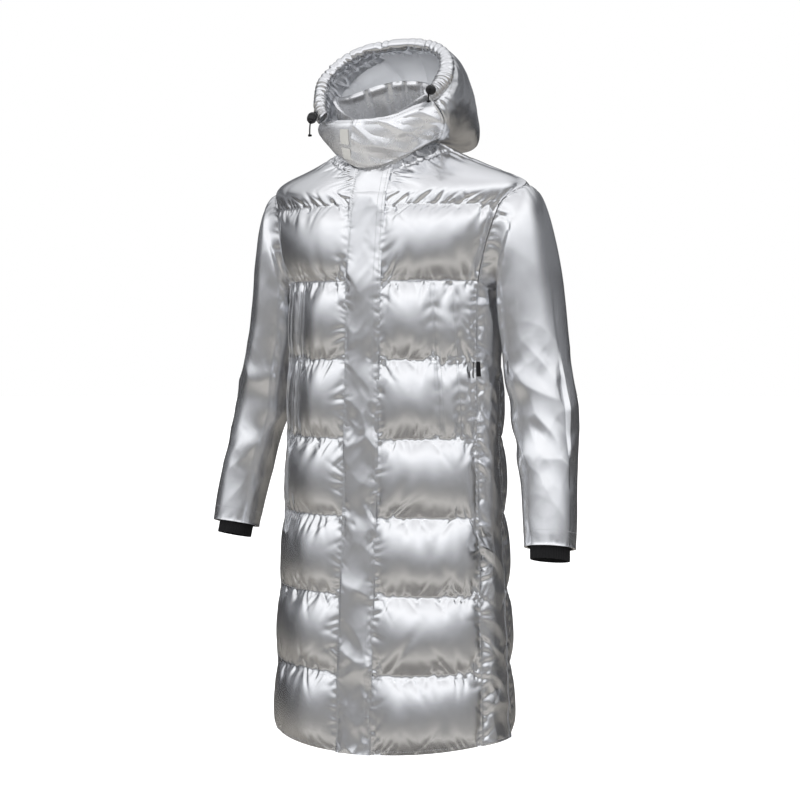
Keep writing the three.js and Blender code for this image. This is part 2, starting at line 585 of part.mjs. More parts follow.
// A chin flap, from its free end to the hood's foot line.
function chinFlap(from, lift, side) {
  const feet = CHIN_PLACES.map((place) => rowAt(HOOD_ARCHES, place));
  const rows = [...feet, { ...feet[feet.length - 1], footRise: 1 }];
  const outer = rows.map(({ footRise, footAngle }) =>
    range(CHIN_COLUMNS + 1).map((j) => {
      const t = j / CHIN_COLUMNS;
      return throatPoint(lerp(from, footAngle - CHIN_ANGLE[side], t), footRise, side, lerp(lift, 0, t));
    }),
  );
  const normals = gridNormals(outer, false);
  const facing = normals[0][0].y < 0 ? 1 : -1;
  return { outer, inner: moved(outer, normals, -facing * CLOTH) };
}

// A hook-and-loop patch lies on the right chin flap, beside the left one's free end.
function patch(rows) {
  const grid = (lift) => rows.map((h) => PATCH_ANGLES.map((angle) => throatPoint(angle, h, "right", lift)));
  return { inner: grid(PATCH_GAP), outer: grid(PATCH_GAP + PATCH_CLOTH) };
}

function archPoint(place, step, side) {
  const row = rowAt(HOOD_ARCHES, place);
  const foot = throatPoint(row.footAngle, Math.max(0, row.footRise), side);
  const [s, c] = [Math.sin(step * DEG), Math.cos(step * DEG)];
  if (step < 0)
    return new THREE.Vector3(
      lerp(foot.x, row.wide, c),
      lerp(row.wideY, foot.y, -s),
      lerp(row.wideZ, foot.z, -s),
    );
  return new THREE.Vector3(row.wide * c ** row.round, lerp(row.wideY, row.topY, s), lerp(row.wideZ, row.topZ, s));
}

const HOOD_PLACES = [0, 0.5, 1, 1.5, 2, 2.7, 3.4, 4.1, 4.8, 5.5, 6.2, 7, 8, 9];

// Half of the hood: its points, and its normals that face out.
function hoodHalf(side) {
  const grid = HOOD_PLACES.map((place) => ARCH_STEPS.map((step) => archPoint(place, step, side)));
  for (const row of grid) row[row.length - 1].x = SEAM_GAP / 2;
  const normals = gridNormals(grid, false);
  const facing = normals[5][3].x > 0 ? 1 : -1;
  for (const row of normals) {
    for (const normal of row) normal.multiplyScalar(facing);
    row[row.length - 1].setX(0).normalize();
  }
  return { grid, normals };
}

function hoodShell(side) {
  const { grid, normals } = hoodHalf(side);
  return { outer: grid, inner: moved(grid, normals, -HOOD_WALL) };
}

// The lining is made from the hood's own points, moved in.
function hoodLining(side) {
  const { grid, normals } = hoodHalf(side);
  const [first, last] = [1, HOOD_PLACES.length - 2];
  const at = (distance) =>
    moved(grid, normals, -distance)
      .slice(first, last + 1)
      .map((row) => row.slice(1));
  return { outer: at(HOOD_WALL + LYING_GAP), inner: at(HOOD_WALL + LYING_GAP + LINING_WALL) };
}

// The tunnel's centre, the way forward across it and the way out of it, at a step of the hood's first arch.
function brimFrame(step, side) {
  const edge = archPoint(0, step, side);
  const forward = edge.clone().sub(archPoint(0.35, step, side)).normalize();
  const above = archPoint(0, Math.min(step + 3, 90), side);
  const tangent = above.sub(archPoint(0, Math.max(step - 3, -90), side)).normalize();
  const normal = new THREE.Vector3().crossVectors(forward, tangent).normalize();
  if (normal.x < 0) normal.negate();
  return { centre: edge.addScaledVector(forward, BRIM_REACH + BRIM_GAP), forward, normal };
}

// The gathered tunnel round the face: a flattened tube along the hood's first arch.
function brim() {
  const left = BRIM_STEPS.map((step) => ({ step, side: "left" }));
  const right = BRIM_STEPS.slice(0, -1).reverse().map((step) => ({ step, side: "right" }));
  const sections = [...left, ...right].map(({ step, side }) => {
    const { centre, forward, normal } = brimFrame(step, side);
    const mirror = side === "left" ? 1 : -1;
    return range(8).map((k) => {
      const turn = (2 * Math.PI * k) / 8;
      const point = centre
        .clone()
        .addScaledVector(forward, BRIM_REACH * Math.cos(turn))
        .addScaledVector(normal, BRIM_THICK * Math.sin(turn));
      return new THREE.Vector3(mirror * point.x, point.y, point.z);
    });
  });
  return loft(sections);
}

// The drawcord's free ends: out of the tunnel at a step of the hood's first arch, through the lock, and
// down. x and y give the way out, and each row of a route is a distance along it and a height. seat is how
// far the tunnel's flat face lies inside its curve there.
const CORDS = {
  left: { step: -66, seat: 0.8, x: 0.2, y: -1, route: [[0.6, 0], [8, 2], [15, 2], [34, 0], [39, -4], [41, -12], [41, -21]] },
  right: { step: -58, seat: 0, x: 0, y: -1, route: [[1.6, -0.4], [5, -2], [9, -5], [19, -21], [21, -27], [22, -36], [22, -45]] },
};

function cordRoute(side) {
  const { step, seat, x, y, route } = CORDS[side];
  const { centre, normal } = brimFrame(step, side);
  const base = centre.clone().addScaledVector(normal, BRIM_THICK - seat);
  const way = new THREE.Vector3(x, y, 0).normalize();
  const mirror = side === "left" ? 1 : -1;
  return route.map(([out, up]) => {
    const point = base.clone().addScaledVector(way, out);
    return new THREE.Vector3(mirror * point.x, point.y, point.z + up);
  });
}

function cordEnd(route) {
  const section = new THREE.Shape().absarc(0, 0, CORD_RADIUS, 0, 2 * Math.PI);
  const extrudePath = new THREE.CatmullRomCurve3(route);
  return new THREE.ExtrudeGeometry(section, { steps: 12, curveSegments: 4, extrudePath });
}

// The lock is a ribbed barrel with a bore for the cord.
function cordLock() {
  const half = LOCK_LENGTH / 2;
  const profile = [
    { r: LOCK_BORE, y: -half },
    { r: LOCK_RADIUS * 0.62, y: -half },
    { r: LOCK_RADIUS * 0.9, y: -half * 0.62 },
    { r: LOCK_RADIUS, y: 0 },
    { r: LOCK_RADIUS * 0.9, y: half * 0.62 },
    { r: LOCK_RADIUS * 0.62, y: half },
    { r: LOCK_BORE, y: half },
    { r: LOCK_BORE, y: -half },
  ];
  return new THREE.LatheGeometry(profile.map(({ r, y }) => new THREE.Vector2(r, y)), 14);
}

const coat = new THREE.Group();

function add(name, geometry, finish, place = null) {
  const mesh = new THREE.Mesh(geometry, new THREE.MeshStandardMaterial(finish));
  mesh.name = name;
  if (place) place(mesh);
  coat.add(mesh);
}

const addWall = (name, { outer, inner }, finish = SILVER, round = false) => add(name, wall(outer, inner, round), finish);

// The same piece on the wearer's left and right.
function addPair(name, grids, finish = SILVER, round = false) {
  addWall(name + "_left", grids, finish, round);
  addWall(name + "_right", { outer: mirrored(grids.outer), inner: mirrored(grids.inner) }, finish, round);
}

const flip = ({ outer, inner }) => ({ outer: mirrored(outer), inner: mirrored(inner) });

const [leftFront, rightFront] = [lowerFront(1), lowerFront(-1)];
addWall("front_left", leftFront);
addWall("front_right", flip(rightFront));
addWall("front_yoke_left", upperFront(1));
addWall("front_yoke_right", flip(upperFront(-1)));
addPair("side", sidePanel());
addWall("back", lowerBack());
addWall("back_yoke", upperBack());
addWall("storm_flap", stormFlap());
addWall("zip", zipChain(), PLASTIC);
addWall("pocket_welt_left", pocketWelt(leftFront));
addWall("pocket_welt_right", flip(pocketWelt(rightFront)));
addPair("vent_band", ventBand(sidePanel()));
addWall("sleeve_left", sleeve(1), SILVER, true);
addWall("sleeve_right", flip(sleeve(RIGHT_SHORTENED)), SILVER, true);
addWall("cuff_left", cuff(1), RIB, true);
addWall("cuff_right", flip(cuff(RIGHT_SHORTENED)), RIB, true);
addWall("collar", collar(), SILVER, true);
addWall("chin_flap_left", chinFlap(CHIN_LEFT_END, CHIN_LIFT, "left"));
addWall("chin_flap_right", flip(chinFlap(CHIN_RIGHT_END, 0, "right")));
addWall("patch_upper", flip(patch([0.55, 0.72, 0.88])), FASTENER);
addWall("patch_lower", flip(patch([0.18, 0.34, 0.5])), FASTENER);
addWall("hood_left", hoodShell("left"));
addWall("hood_right", flip(hoodShell("right")));
addWall("hood_lining_left", hoodLining("left"), LINING);
addWall("hood_lining_right", flip(hoodLining("right")), LINING);
addWall("side_tag", sideTag(), RIB);
add("hood_brim", brim(), SILVER);

for (const side of ["left", "right"]) {
  const route = cordRoute(side);
  add("drawcord_" + side, cordEnd(route), PLASTIC);
  const [from, to] = [route[2], route[3]];
  const along = to.clone().sub(from).normalize();
  add("cord_lock_" + side, cordLock(), PLASTIC, (mesh) => {
    mesh.position.copy(from).lerp(to, 0.5);
    mesh.quaternion.setFromUnitVectors(new THREE.Vector3(0, 1, 0), along);
  });
}

export default coat;
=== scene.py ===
# %% [markdown]
# # A long silver puffer coat
# A puffer is two layers of thin cloth with down between them, sewn together along quilting lines.
# The down pushes the cloth out, the lines hold it back, and the cloth gathers in short creases beside
# every line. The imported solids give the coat's form. Here each panel becomes a fine net of points on
# the same form, Blender's cloth solver lets it swell and crease, and the net becomes a closed wall.

# %% The frame and its size
import math

import bpy
import numpy as np
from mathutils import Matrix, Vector


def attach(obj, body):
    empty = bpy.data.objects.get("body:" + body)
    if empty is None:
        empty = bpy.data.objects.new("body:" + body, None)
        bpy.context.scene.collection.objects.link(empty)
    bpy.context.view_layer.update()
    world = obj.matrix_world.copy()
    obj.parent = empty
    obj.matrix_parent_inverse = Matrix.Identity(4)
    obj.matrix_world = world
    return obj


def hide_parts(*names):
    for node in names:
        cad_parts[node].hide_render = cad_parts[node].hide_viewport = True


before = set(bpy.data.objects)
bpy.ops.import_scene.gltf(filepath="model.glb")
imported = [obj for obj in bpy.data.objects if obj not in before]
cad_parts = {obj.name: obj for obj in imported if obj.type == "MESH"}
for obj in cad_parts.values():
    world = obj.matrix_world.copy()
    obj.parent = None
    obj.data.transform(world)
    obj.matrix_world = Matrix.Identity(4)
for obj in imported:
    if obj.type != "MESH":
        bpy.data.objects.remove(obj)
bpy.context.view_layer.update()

MM = 0.001  # the tables below are in millimetres

# %% [markdown]
# The photograph was taken from the wearer's front left, with a long lens, a little above the level.
# A long lens keeps the near sleeve hardly larger than the far one. The camera stands 3.5 m from the
# coat's axis, looks at the middle of the coat, and its lens follows from the size of the picture.

# %% Camera
CAMERA_AZIMUTH = math.radians(27)
CAMERA_DISTANCE = 3.5
EYE_LEVEL = -0.315  # the height at which seams look straight
VIEW_SHIFT = 0.0117  # the coat's axis is a little left of the picture's middle
PICTURE_WIDTH = 1.44  # in metres, at the coat's axis
PICTURE_DROP = 0.126  # how far the picture's middle lies below eye level

camera = bpy.data.objects.new("camera", bpy.data.cameras.new("camera"))
bpy.context.scene.collection.objects.link(camera)
bpy.context.scene.camera = camera
camera.data.lens = camera.data.sensor_width * CAMERA_DISTANCE / PICTURE_WIDTH
right = Vector((math.cos(CAMERA_AZIMUTH), math.sin(CAMERA_AZIMUTH), 0))
back = Vector((math.sin(CAMERA_AZIMUTH), -math.cos(CAMERA_AZIMUTH), 0))
camera.location = back * CAMERA_DISTANCE + right * VIEW_SHIFT + Vector((0, 0, EYE_LEVEL))
aim = right * VIEW_SHIFT + Vector((0, 0, EYE_LEVEL - PICTURE_DROP))
camera.rotation_euler = (aim - camera.location).to_track_quat("-Z", "Y").to_euler()
print("lens", round(camera.data.lens, 1), "mm")

# %% [markdown]
# The hood's drawcord has two free ends. Each leaves the gathered tunnel near the chin, passes through a
# barrel lock and hangs to a knot. A route starts on the tunnel's face. Its rows are a distance along
# the way out and a height, and the cord runs through them in a smooth curve.

# %% The drawcord's free ends
CORD_THICK = 2.6
CORDS = {
    "left": dict(start=(115.3, -69.1, 96.9), way=(0.196, -0.981),
                 route=[(0.6, 0), (8, 2), (15, 2), (34, 0), (39, -4), (41, -12), (41, -21)]),
    "right": dict(start=(-119.5, -71.2, 75.0), way=(0, -1),
                  route=[(1.6, -0.4), (5, -2), (9, -5), (19, -21), (21, -27), (22, -36), (22, -45)]),
}


def on_curve(table, at):
    """Rows between a table's rows, on a smooth curve through them."""
    at = np.asarray(at, float)
    low = np.clip(np.floor(at).astype(int), 0, len(table) - 2)
    t = (at - low).reshape(at.shape + (1,) * (table.ndim - 1))
    a, b, c, d = (table[np.clip(low + k, 0, len(table) - 1)] for k in (-1, 0, 1, 2))
    return b + 0.5 * t * (c - a + t * (2 * a - 5 * b + 4 * c - d + t * (3 * (b - c) + d - a)))


def linked(name, data):
    made = bpy.data.objects.new(name, data)
    bpy.context.scene.collection.objects.link(made)
    return made


def tube_along(name, points, radius, closed=False):
    """A round cord through points in millimetres."""
    curve = bpy.data.curves.new(name, "CURVE")
    curve.dimensions, curve.use_fill_caps = "3D", True
    curve.bevel_depth, curve.bevel_resolution = radius * MM, 3
    spline = curve.splines.new("POLY")
    spline.points.add(len(points) - 1)
    spline.use_cyclic_u = closed
    for point, place in zip(spline.points, points):
        point.co = (*[c * MM for c in place], 1)
    return linked(name, curve)


def cord_route(start, way, route):
    return np.array([(start[0] + way[0] * out, start[1] + way[1] * out, start[2] + up) for out, up in route])


KNOT_SIZE, KNOT_RISE = 0.9, 0.6
turn = np.linspace(0, 2 * math.pi, 41)[:-1]
trefoil = KNOT_SIZE * np.stack([np.sin(turn) + 2 * np.sin(2 * turn), np.cos(turn) - 2 * np.cos(2 * turn),
                                -np.sin(3 * turn)], 1)
cords = {}
for side, cord in CORDS.items():
    keys = cord_route(**cord)
    line = on_curve(keys, np.linspace(0, len(keys) - 1, 49))
    turns_of_knot = line[-1] + trefoil + (0, 0, KNOT_RISE)
    knot = tube_along(f"drawcord_knot_{side}", turns_of_knot, CORD_THICK / 2, closed=True)
    free_end = tube_along(f"drawcord_{side}_braid", line, CORD_THICK / 2)
    cords[side] = dict(keys=keys, free_end=free_end, knot=knot)

# %% [markdown]
# ## The coat's form
# A tailor's form is described by girths at known heights, and so is this one: a row for each seam or
# quilting line from hem to neckline, with a smooth curve through the rows. An angle runs round the
# body from the centre front, 0, over the wearer's left side, 90, to the centre back, 180.

# %% The body's rings
# front, side and back heights, half width, depth in front and behind, shift along Y, power
BODY = np.array([
    (-1050, -1034, -1036, 220, 163, 150, 0, 2.1),  # hem
    (-912, -906, -906, 217, 158, 146, 0, 2.1),
    (-776, -774, -774, 212, 148, 140, 0, 2.1),
    (-640, -640, -640, 206, 139, 134, 0, 2.1),
    (-504, -504, -504, 202, 134, 128, 0, 2.1),
    (-367, -367, -367, 199, 130, 127, 1, 2.1),
    (-230, -230, -230, 200, 129, 129, 4, 2.1),  # seam across the chest
    (-98, -98, -98, 231, 117, 125, 8, 2.1),  # quilting line of the yoke
    (-76, -56, -72, 241, 138, 90, 35, 2.05),  # shoulder points
    (-56, -26, -14, 162, 123, 76, 26, 2.0),
    (-38, 16, 33, 88, 95, 66, 4, 2.0),  # neckline
], float)
CHEST, YOKE, SHOULDER, NECK = 6, 7, 8, 10
SHELL = 3.0  # the quilted cloth where it is pressed flat


def ring_point(row, angle):
    """A point of a ring, at an angle in degrees."""
    front, side, rear, half, ahead, behind, shift, power = np.moveaxis(np.asarray(row, float), -1, 0)
    s, c = np.sin(np.radians(angle)), np.cos(np.radians(angle))
    depth, end = np.where(c > 0, ahead, behind), np.where(c > 0, front, rear)
    x = half * np.sign(s) * np.abs(s) ** (2 / power)
    y = shift - depth * np.sign(c) * np.abs(c) ** (2 / power)
    return np.stack([x, y, side + (end - side) * c * c], -1)


def body_point(ring, angle, height=0.0):
    """A point of the body, lifted off its inside by a height."""
    ring, angle = np.broadcast_arrays(np.asarray(ring, float), np.asarray(angle, float))
    here = lambda r, a: ring_point(on_curve(BODY, r), a)
    up = here(np.minimum(ring + 0.02, NECK), angle) - here(np.maximum(ring - 0.02, 0), angle)
    normal = np.cross(here(ring, angle + 1) - here(ring, angle - 1), up)
    normal /= np.linalg.norm(normal, axis=-1, keepdims=True)
    return here(ring, angle) + normal * np.asarray(height, float)[..., None]


def angle_at(ring, x):
    """The angle at which a ring's front is x from the centre."""
    row = on_curve(BODY, ring)
    return np.degrees(np.sign(x) * np.arcsin((np.abs(x) / row[..., 3]) ** (row[..., 7] / 2)))


# %% [markdown]
# The seams that run up the body are curves over the rings. The armhole takes a bite out of the yokes.

# %% Seams and armholes
SIDE_FRONT = 68.0
FLAP_LEFT, FLAP_RIGHT, ZIP_HALF = 41, 27, 3
ARMPIT_DIP = 0.14
seam = lambda rings, angles: lambda ring: np.interp(ring, rings, angles)
side_back = seam([0, 4, 5, 6], [99, 99, 104, 116])
armhole_front = seam([6, 6.5, 7, 7.5, 8, 10], [68, 68.5, 71, 78, 90, 90])
armhole_back = seam([6, 6.5, 7, 7.5, 8, 10], [116, 119, 115, 106, 90, 90])
pocket_mouth = seam([4, 6], [43.5, 38])
welt_edge = seam([4, 6], [57, 51])


def fullness(ring):
    """How full the down is between two quilting lines: 0 at a line, 1 half way."""
    t = np.where(ring <= YOKE, ring - np.floor(ring), np.clip((ring - YOKE) / (NECK - YOKE), 0, 1))
    return np.sin(np.pi * t ** 0.9) ** 0.48


rise = lambda distance, reach: np.sin(np.clip(distance / reach, 0, 1) * np.pi / 2) ** 0.7

# %% [markdown]
# ## Cloth
# Each piece starts as a net of points. The points on seams are pinned. The cloth between them is cut
# larger than the form, as real shell cloth is, and a slight pressure stands for the down. While the
# cloth settles, its spare width has nowhere to go beside a pinned seam, so it folds into the short
# creases of a real puffer. All pieces settle in the same steps, so the solver can work on them side
# by side.

# %% Lay out a net of cloth
cloths = {}


def lay_out(name, net, pinned, cut, down=0.0, reach=9.0, stiff=0.05, loop=False, mirror=False):
    """Keeps a net of cloth for the solver: cut is its pattern and down its pressure."""
    flip = (-1, 1, 1) if mirror else (1, 1, 1)
    cloths[name] = dict(net=np.array(net, float) * flip, pinned=np.array(pinned, float), cut=cut * flip,
                        down=down, reach=reach, stiff=stiff, loop=loop)
    print(name, "net", net.shape[0], "x", net.shape[1])


def spread(values, reach, pick):
    """The largest value, or the mean, of every row's neighbours up to reach rows away."""
    wide = np.pad(values, ((reach, reach), (0, 0)), "edge")
    return pick(np.stack([wide[k:k + len(values)] for k in range(2 * reach + 1)]), 0)


def flat_cut(net, wider, longer, reach=0):
    """A flat pattern for a net. With a reach, a row is cut as wide as the widest one near it."""
    across = np.linalg.norm(np.diff(net, axis=1), axis=-1)
    up = np.linalg.norm(np.diff(net, axis=0), axis=-1)
    if reach:
        across = spread(spread(across, reach, np.max), reach, np.mean)
    wide = np.concatenate([np.zeros((len(net), 1)), np.cumsum(across * (1 + wider), 1)], 1)
    middle = wide[:, wide.shape[1] // 2, None]
    long = np.concatenate([[0], np.cumsum((up.max(1) if reach else up.mean(1)) * (1 + longer))])
    return np.stack([wide - middle, 0 * wide, long[:, None] + 0 * wide], -1)


def tube_cut(net, wider, longer):
    """A pattern for a tube: its rings made wider, and set further apart."""
    middle = net.mean(1, keepdims=True)
    steps = np.diff(middle, axis=0) * (1 + np.broadcast_to(longer, len(net)))[1:, None, None]
    apart = np.concatenate([middle[:1], middle[:1] + np.cumsum(steps, 0)])
    return apart + (net - middle) * (1 + np.broadcast_to(wider, len(net)))[:, None, None]


def net_faces(rows, columns, loop):
    """Four-cornered faces of a net, which may close round into a tube."""
    i, j = np.meshgrid(np.arange(rows - 1), np.arange(columns if loop else columns - 1), indexing="ij")
    k = (j + 1) % columns
    low, high = i * columns, (i + 1) * columns
    return np.stack([low + j, low + k, high + k, high + j], -1).reshape(-1, 4)


def net_normals(net, loop):
    """Unit normals of a net, from its neighbouring points."""
    up = np.gradient(net, axis=0)
    wide = np.concatenate([net[:, -1:], net, net[:, :1]], 1) if loop else net
    along = np.gradient(wide, axis=1)
    along = along[:, 1:-1] if loop else along
    normal = np.cross(along, up)
    return normal / np.maximum(np.linalg.norm(normal, axis=-1, keepdims=True), 1e-9)


# %% [markdown]
# ## The quilted panels
# The fronts lie flat under the storm flap, and puff from its edge to the side seam. The pocket's mouth
# and the welt's sewn edge hold the front down over two baffles, so they are pinned there.

# %% Fronts, yokes, sides and back
BAFFLE_CELLS = 24
MOUTH_COLUMN, WELT_COLUMN = 32, 44
FLAT_COLUMNS = 5  # of a front, below the storm flap
START_PUFF = 17.0
PUFF_RISE, SIDE_RISE = 52.0, 120.0  # how far from a sewn edge the down is full
SPARE_CLOTH = 0.012
PANEL_DOWN, PANEL_REACH, PANEL_STIFF = 1.0, 5, 1.0
SHOULDER_PUFF = 0.3  # how much of the puff the yoke has above its quilting line
lower_rings = np.linspace(0, CHEST, CHEST * BAFFLE_CELLS + 1)
upper_rings = np.concatenate([np.linspace(CHEST, YOKE, BAFFLE_CELLS + 1), np.linspace(YOKE, NECK, 29)[1:]])
yoke_puff = START_PUFF * np.where(upper_rings > YOKE, SHOULDER_PUFF, 1)[:, None]
stretch = lambda a, b, cells: a[:, None] + (b - a)[:, None] * np.linspace(0, 1, cells + 1)[1:]


def quilted(name, rings, angles, sewn, puff, slow=(False, False), mirror=False):
    """A quilted panel: angles is a net of angles, sewn the same net with True on a seam."""
    net = rings[:, None] + np.zeros_like(angles)
    base = body_point(net, angles)
    along = np.concatenate([np.zeros((len(rings), 1)),
                            np.cumsum(np.linalg.norm(np.diff(base, axis=1), axis=-1), 1)], 1)
    near = np.full(along.shape, 1e9)
    for i in range(len(rings)):
        seams = along[i][sewn[i]]
        near[i] = np.abs(along[i][:, None] - seams).min(1)
    full = rise(near, PUFF_RISE)
    if slow[0]:
        full = np.minimum(full, rise(along, SIDE_RISE))
    if slow[1]:
        full = np.minimum(full, rise(along[:, -1:] - along, SIDE_RISE))
    pinned = sewn | np.isclose(net % 1, 0) & (net <= YOKE)
    pinned[[0, -1]] = True
    height = SHELL + puff * fullness(net) * full
    start = body_point(net, angles, height)
    lay_out(name, start, pinned, flat_cut(start, SPARE_CLOTH, SPARE_CLOTH, BAFFLE_CELLS // 2),
            PANEL_DOWN, PANEL_REACH, PANEL_STIFF, mirror=mirror)
    cloths[name]["inside"] = body_point(net, angles) * ((-1, 1, 1) if mirror else 1)


def front_net(rings, flap):
    """Angles of a front from the zip to the flap's edge."""
    edges = [angle_at(rings, x) for x in np.linspace(ZIP_HALF, flap, FLAT_COLUMNS)]
    return np.stack(edges, 1)


def front(name, flap, mirror):
    band = front_net(lower_rings, flap)
    mouth, edge = pocket_mouth(lower_rings), welt_edge(lower_rings)
    side = np.full_like(mouth, SIDE_FRONT)
    angles = np.concatenate([band, stretch(band[:, -1], mouth, 28), stretch(mouth, edge, 12),
                             stretch(edge, side, 12)], 1)
    sewn = np.zeros(angles.shape, bool)
    sewn[:, :FLAT_COLUMNS] = sewn[:, -1] = True
    pocket = (lower_rings > 4) & (lower_rings < CHEST)
    sewn[np.ix_(pocket, [MOUTH_COLUMN, WELT_COLUMN])] = True
    puff = np.where(np.arange(angles.shape[1]) < FLAT_COLUMNS, 0, START_PUFF)
    quilted(name, lower_rings, angles, sewn, puff, slow=(False, True), mirror=mirror)


def front_yoke(name, flap, mirror):
    band = front_net(upper_rings, flap)
    angles = np.concatenate([band, stretch(band[:, -1], armhole_front(upper_rings), 52)], 1)
    sewn = np.zeros(angles.shape, bool)
    sewn[:, :FLAT_COLUMNS] = sewn[:, -1] = True
    puff = np.where(np.arange(angles.shape[1]) < FLAT_COLUMNS, 0, yoke_puff)
    quilted(name, upper_rings, angles, sewn, puff, mirror=mirror)


def back_panel(name, rings, edge, puff, slow):
    angles = edge(rings)[:, None] + (360 - 2 * edge(rings))[:, None] * np.linspace(0, 1, 101)
    sewn = np.zeros(angles.shape, bool)
    sewn[:, [0, -1]] = True
    quilted(name, rings, angles, sewn, puff, slow=(slow, slow))


def side_panel(name, mirror):
    t = np.linspace(0, 1, 17)
    dip = ARMPIT_DIP * np.maximum(0, lower_rings - CHEST + 1)[:, None]
    ring = lower_rings[:, None] - dip * np.sin(np.pi * t)
    angle = SIDE_FRONT + (side_back(lower_rings) - SIDE_FRONT)[:, None] * t
    full = np.sin(np.pi * t) ** 0.6 * np.minimum(1, (CHEST - lower_rings) * 3)[:, None]
    pinned = np.zeros(ring.shape, bool)
    pinned[:, [0, -1]] = pinned[[0, -1]] = True
    start = body_point(ring, angle, SHELL + 4 * full)
    lay_out(name, start, pinned, flat_cut(start, 0.05, 0.04), 0.3, 7, mirror=mirror)
    cloths[name]["inside"] = body_point(ring, angle) * ((-1, 1, 1) if mirror else 1)


front("front_left", FLAP_LEFT, False)
front("front_right", FLAP_RIGHT, True)
front_yoke("front_yoke_left", FLAP_LEFT, False)
front_yoke("front_yoke_right", FLAP_RIGHT, True)
side_panel("side_left", False)
side_panel("side_right", True)
back_panel("back", lower_rings, side_back, START_PUFF, True)
back_panel("back_yoke", upper_rings, armhole_back, yoke_puff, False)

# %% [markdown]
# ## The sleeves
# A sleeve is a tube from the armhole to its hem. Its cloth is hardly padded, and it is spare in length
# where the elbow bends, which is where the photograph shows its large folds.

# %% Sleeves
# centre x, y, z, half width, half depth, outward, forward and turned lean, power
SLEEVE = np.array([
    (230, 30, -157, 97, 66, 73, 0, 0, 2.2),
    (239, 30, -170, 88, 72, 68, 0, 3, 2.2),
    (245, 30, -194, 71, 74, 57, 0, 6, 2.3),
    (251, 31, -228, 52, 75, 37, 0, 10, 2.5),
    (255, 31, -264, 44, 76, 12, 0, 13, 2.5),
    (261, 30, -315, 45, 74, 7, 0, 15, 2.4),
    (270, 26, -375, 47, 70, 7, 2, 15, 2.3),
    (281, 20, -437, 48, 65, 7, 4, 15, 2.2),
    (293, 10, -510, 48, 60, 7, 8, 15, 2.1),
    (303, -3, -575, 46, 56, 7, 10, 15, 2.1),
    (311, -15, -635, 44, 53, 7, 10, 15, 2.1),
    (316, -26, -690, 42, 50, 7, 11, 15, 2.1),
], float)
# row along the sleeve, degrees round it, height, half length in rows, half width in degrees
SLEEVE_FOLDS = [(7.6, 110, 5, 0.35, 60), (8.5, 150, 6, 0.3, 55), (9.5, 120, 4, 0.3, 50),
                (8.0, 250, 5, 0.35, 60)]
SLEEVE_WALL = 5.0
RIGHT_SHORTENED = 0.965
AROUND, ALONG = 88, 112


def sleeve_ring(row, turn):
    x, y, z, wide, deep, out, ahead, turned, power = row
    out, ahead, turned = np.radians((out, ahead, turned))
    s, c = math.sin(turned), math.cos(turned)
    across = np.array([math.cos(out) * c, -math.cos(out) * s, math.sin(out)])
    depth = np.array([-math.cos(ahead) * s, -math.cos(ahead) * c, math.sin(ahead)])
    bend = lambda v: (np.sign(v) * np.abs(v) ** (2 / power))[:, None]
    return np.array([x, y, z]) + wide * bend(np.cos(turn)) * across + deep * bend(np.sin(turn)) * depth


def armhole_loop(count):
    """The sewn edge of the armhole, from the shoulder point down the front and up the back."""
    rows = np.linspace(SHOULDER - 0.06, CHEST, 40)
    t = np.linspace(0, 1, 20)[1:-1]
    rings = np.concatenate([rows, CHEST - ARMPIT_DIP * np.sin(np.pi * t), rows[::-1]])
    angles = np.concatenate([np.minimum(armhole_front(rows) + 0.5, 90), 68 + 48 * t,
                             np.maximum(armhole_back(rows[::-1]) - 0.5, 90)])
    points = body_point(rings, angles, SHELL)
    length = np.concatenate([[0], np.cumsum(np.linalg.norm(np.diff(points, axis=0), axis=1))])
    at = np.linspace(0, length[-1], count + 1)[:-1]
    return np.stack([np.interp(at, length, points[:, k]) for k in range(3)], 1)


def sleeve_rows(shortened):
    """The sleeve's rows, shortened below the fifth."""
    rows = SLEEVE.copy()
    rows[:, 2] = np.maximum(rows[:, 2], rows[4, 2]) + shortened * np.minimum(rows[:, 2] - rows[4, 2], 0)
    return rows


def sleeve_net(shortened):
    turn = 2 * np.pi * np.arange(AROUND) / AROUND
    keys = np.stack([armhole_loop(AROUND)] + [sleeve_ring(row, turn) for row in sleeve_rows(shortened)])
    places = np.interp(np.linspace(0, 1, ALONG + 1), [0, 0.25, 1], [0, 4, 12])
    net = on_curve(keys, places)
    degrees = np.degrees(turn)
    lift = sum(size * np.exp(-((places[:, None] - at) / reach) ** 2 - ((degrees - round_at) / wide) ** 2)
               for at, round_at, size, reach, wide in SLEEVE_FOLDS)
    return net + lift[..., None] * outward(net), places


def outward(net):
    """Normals of a tube, away from its middle."""
    normal = net_normals(net, True)
    away = (normal * (net - net.mean(1, keepdims=True))).sum(-1).mean()
    return normal if away > 0 else -normal


for name, shortened, mirror in (("sleeve_left", 1.0, False), ("sleeve_right", RIGHT_SHORTENED, True)):
    net, places = sleeve_net(shortened)
    pinned = np.zeros(net.shape[:2])
    pinned[0] = pinned[-1] = 1
    elbow = np.exp(-((places - 8.0) / 1.7) ** 2)
    armhole = np.exp(-places / 0.7)
    cut = tube_cut(net, 0.012 + 0.05 * armhole, 0.012 + 0.075 * elbow)
    lay_out(name, net, pinned, cut, down=0.12, reach=10, stiff=1.6, loop=True, mirror=mirror)
    inside = net - outward(net) * SLEEVE_WALL
    cloths[name]["inside"] = inside * ((-1, 1, 1) if mirror else 1)

# %% [markdown]
# ## The storm flap
# The flap is sewn along its left edge and free along the other. Its two layers are hardly padded, and
# they are crumpled all the way down, because the flap is folded back each time the zip is used.

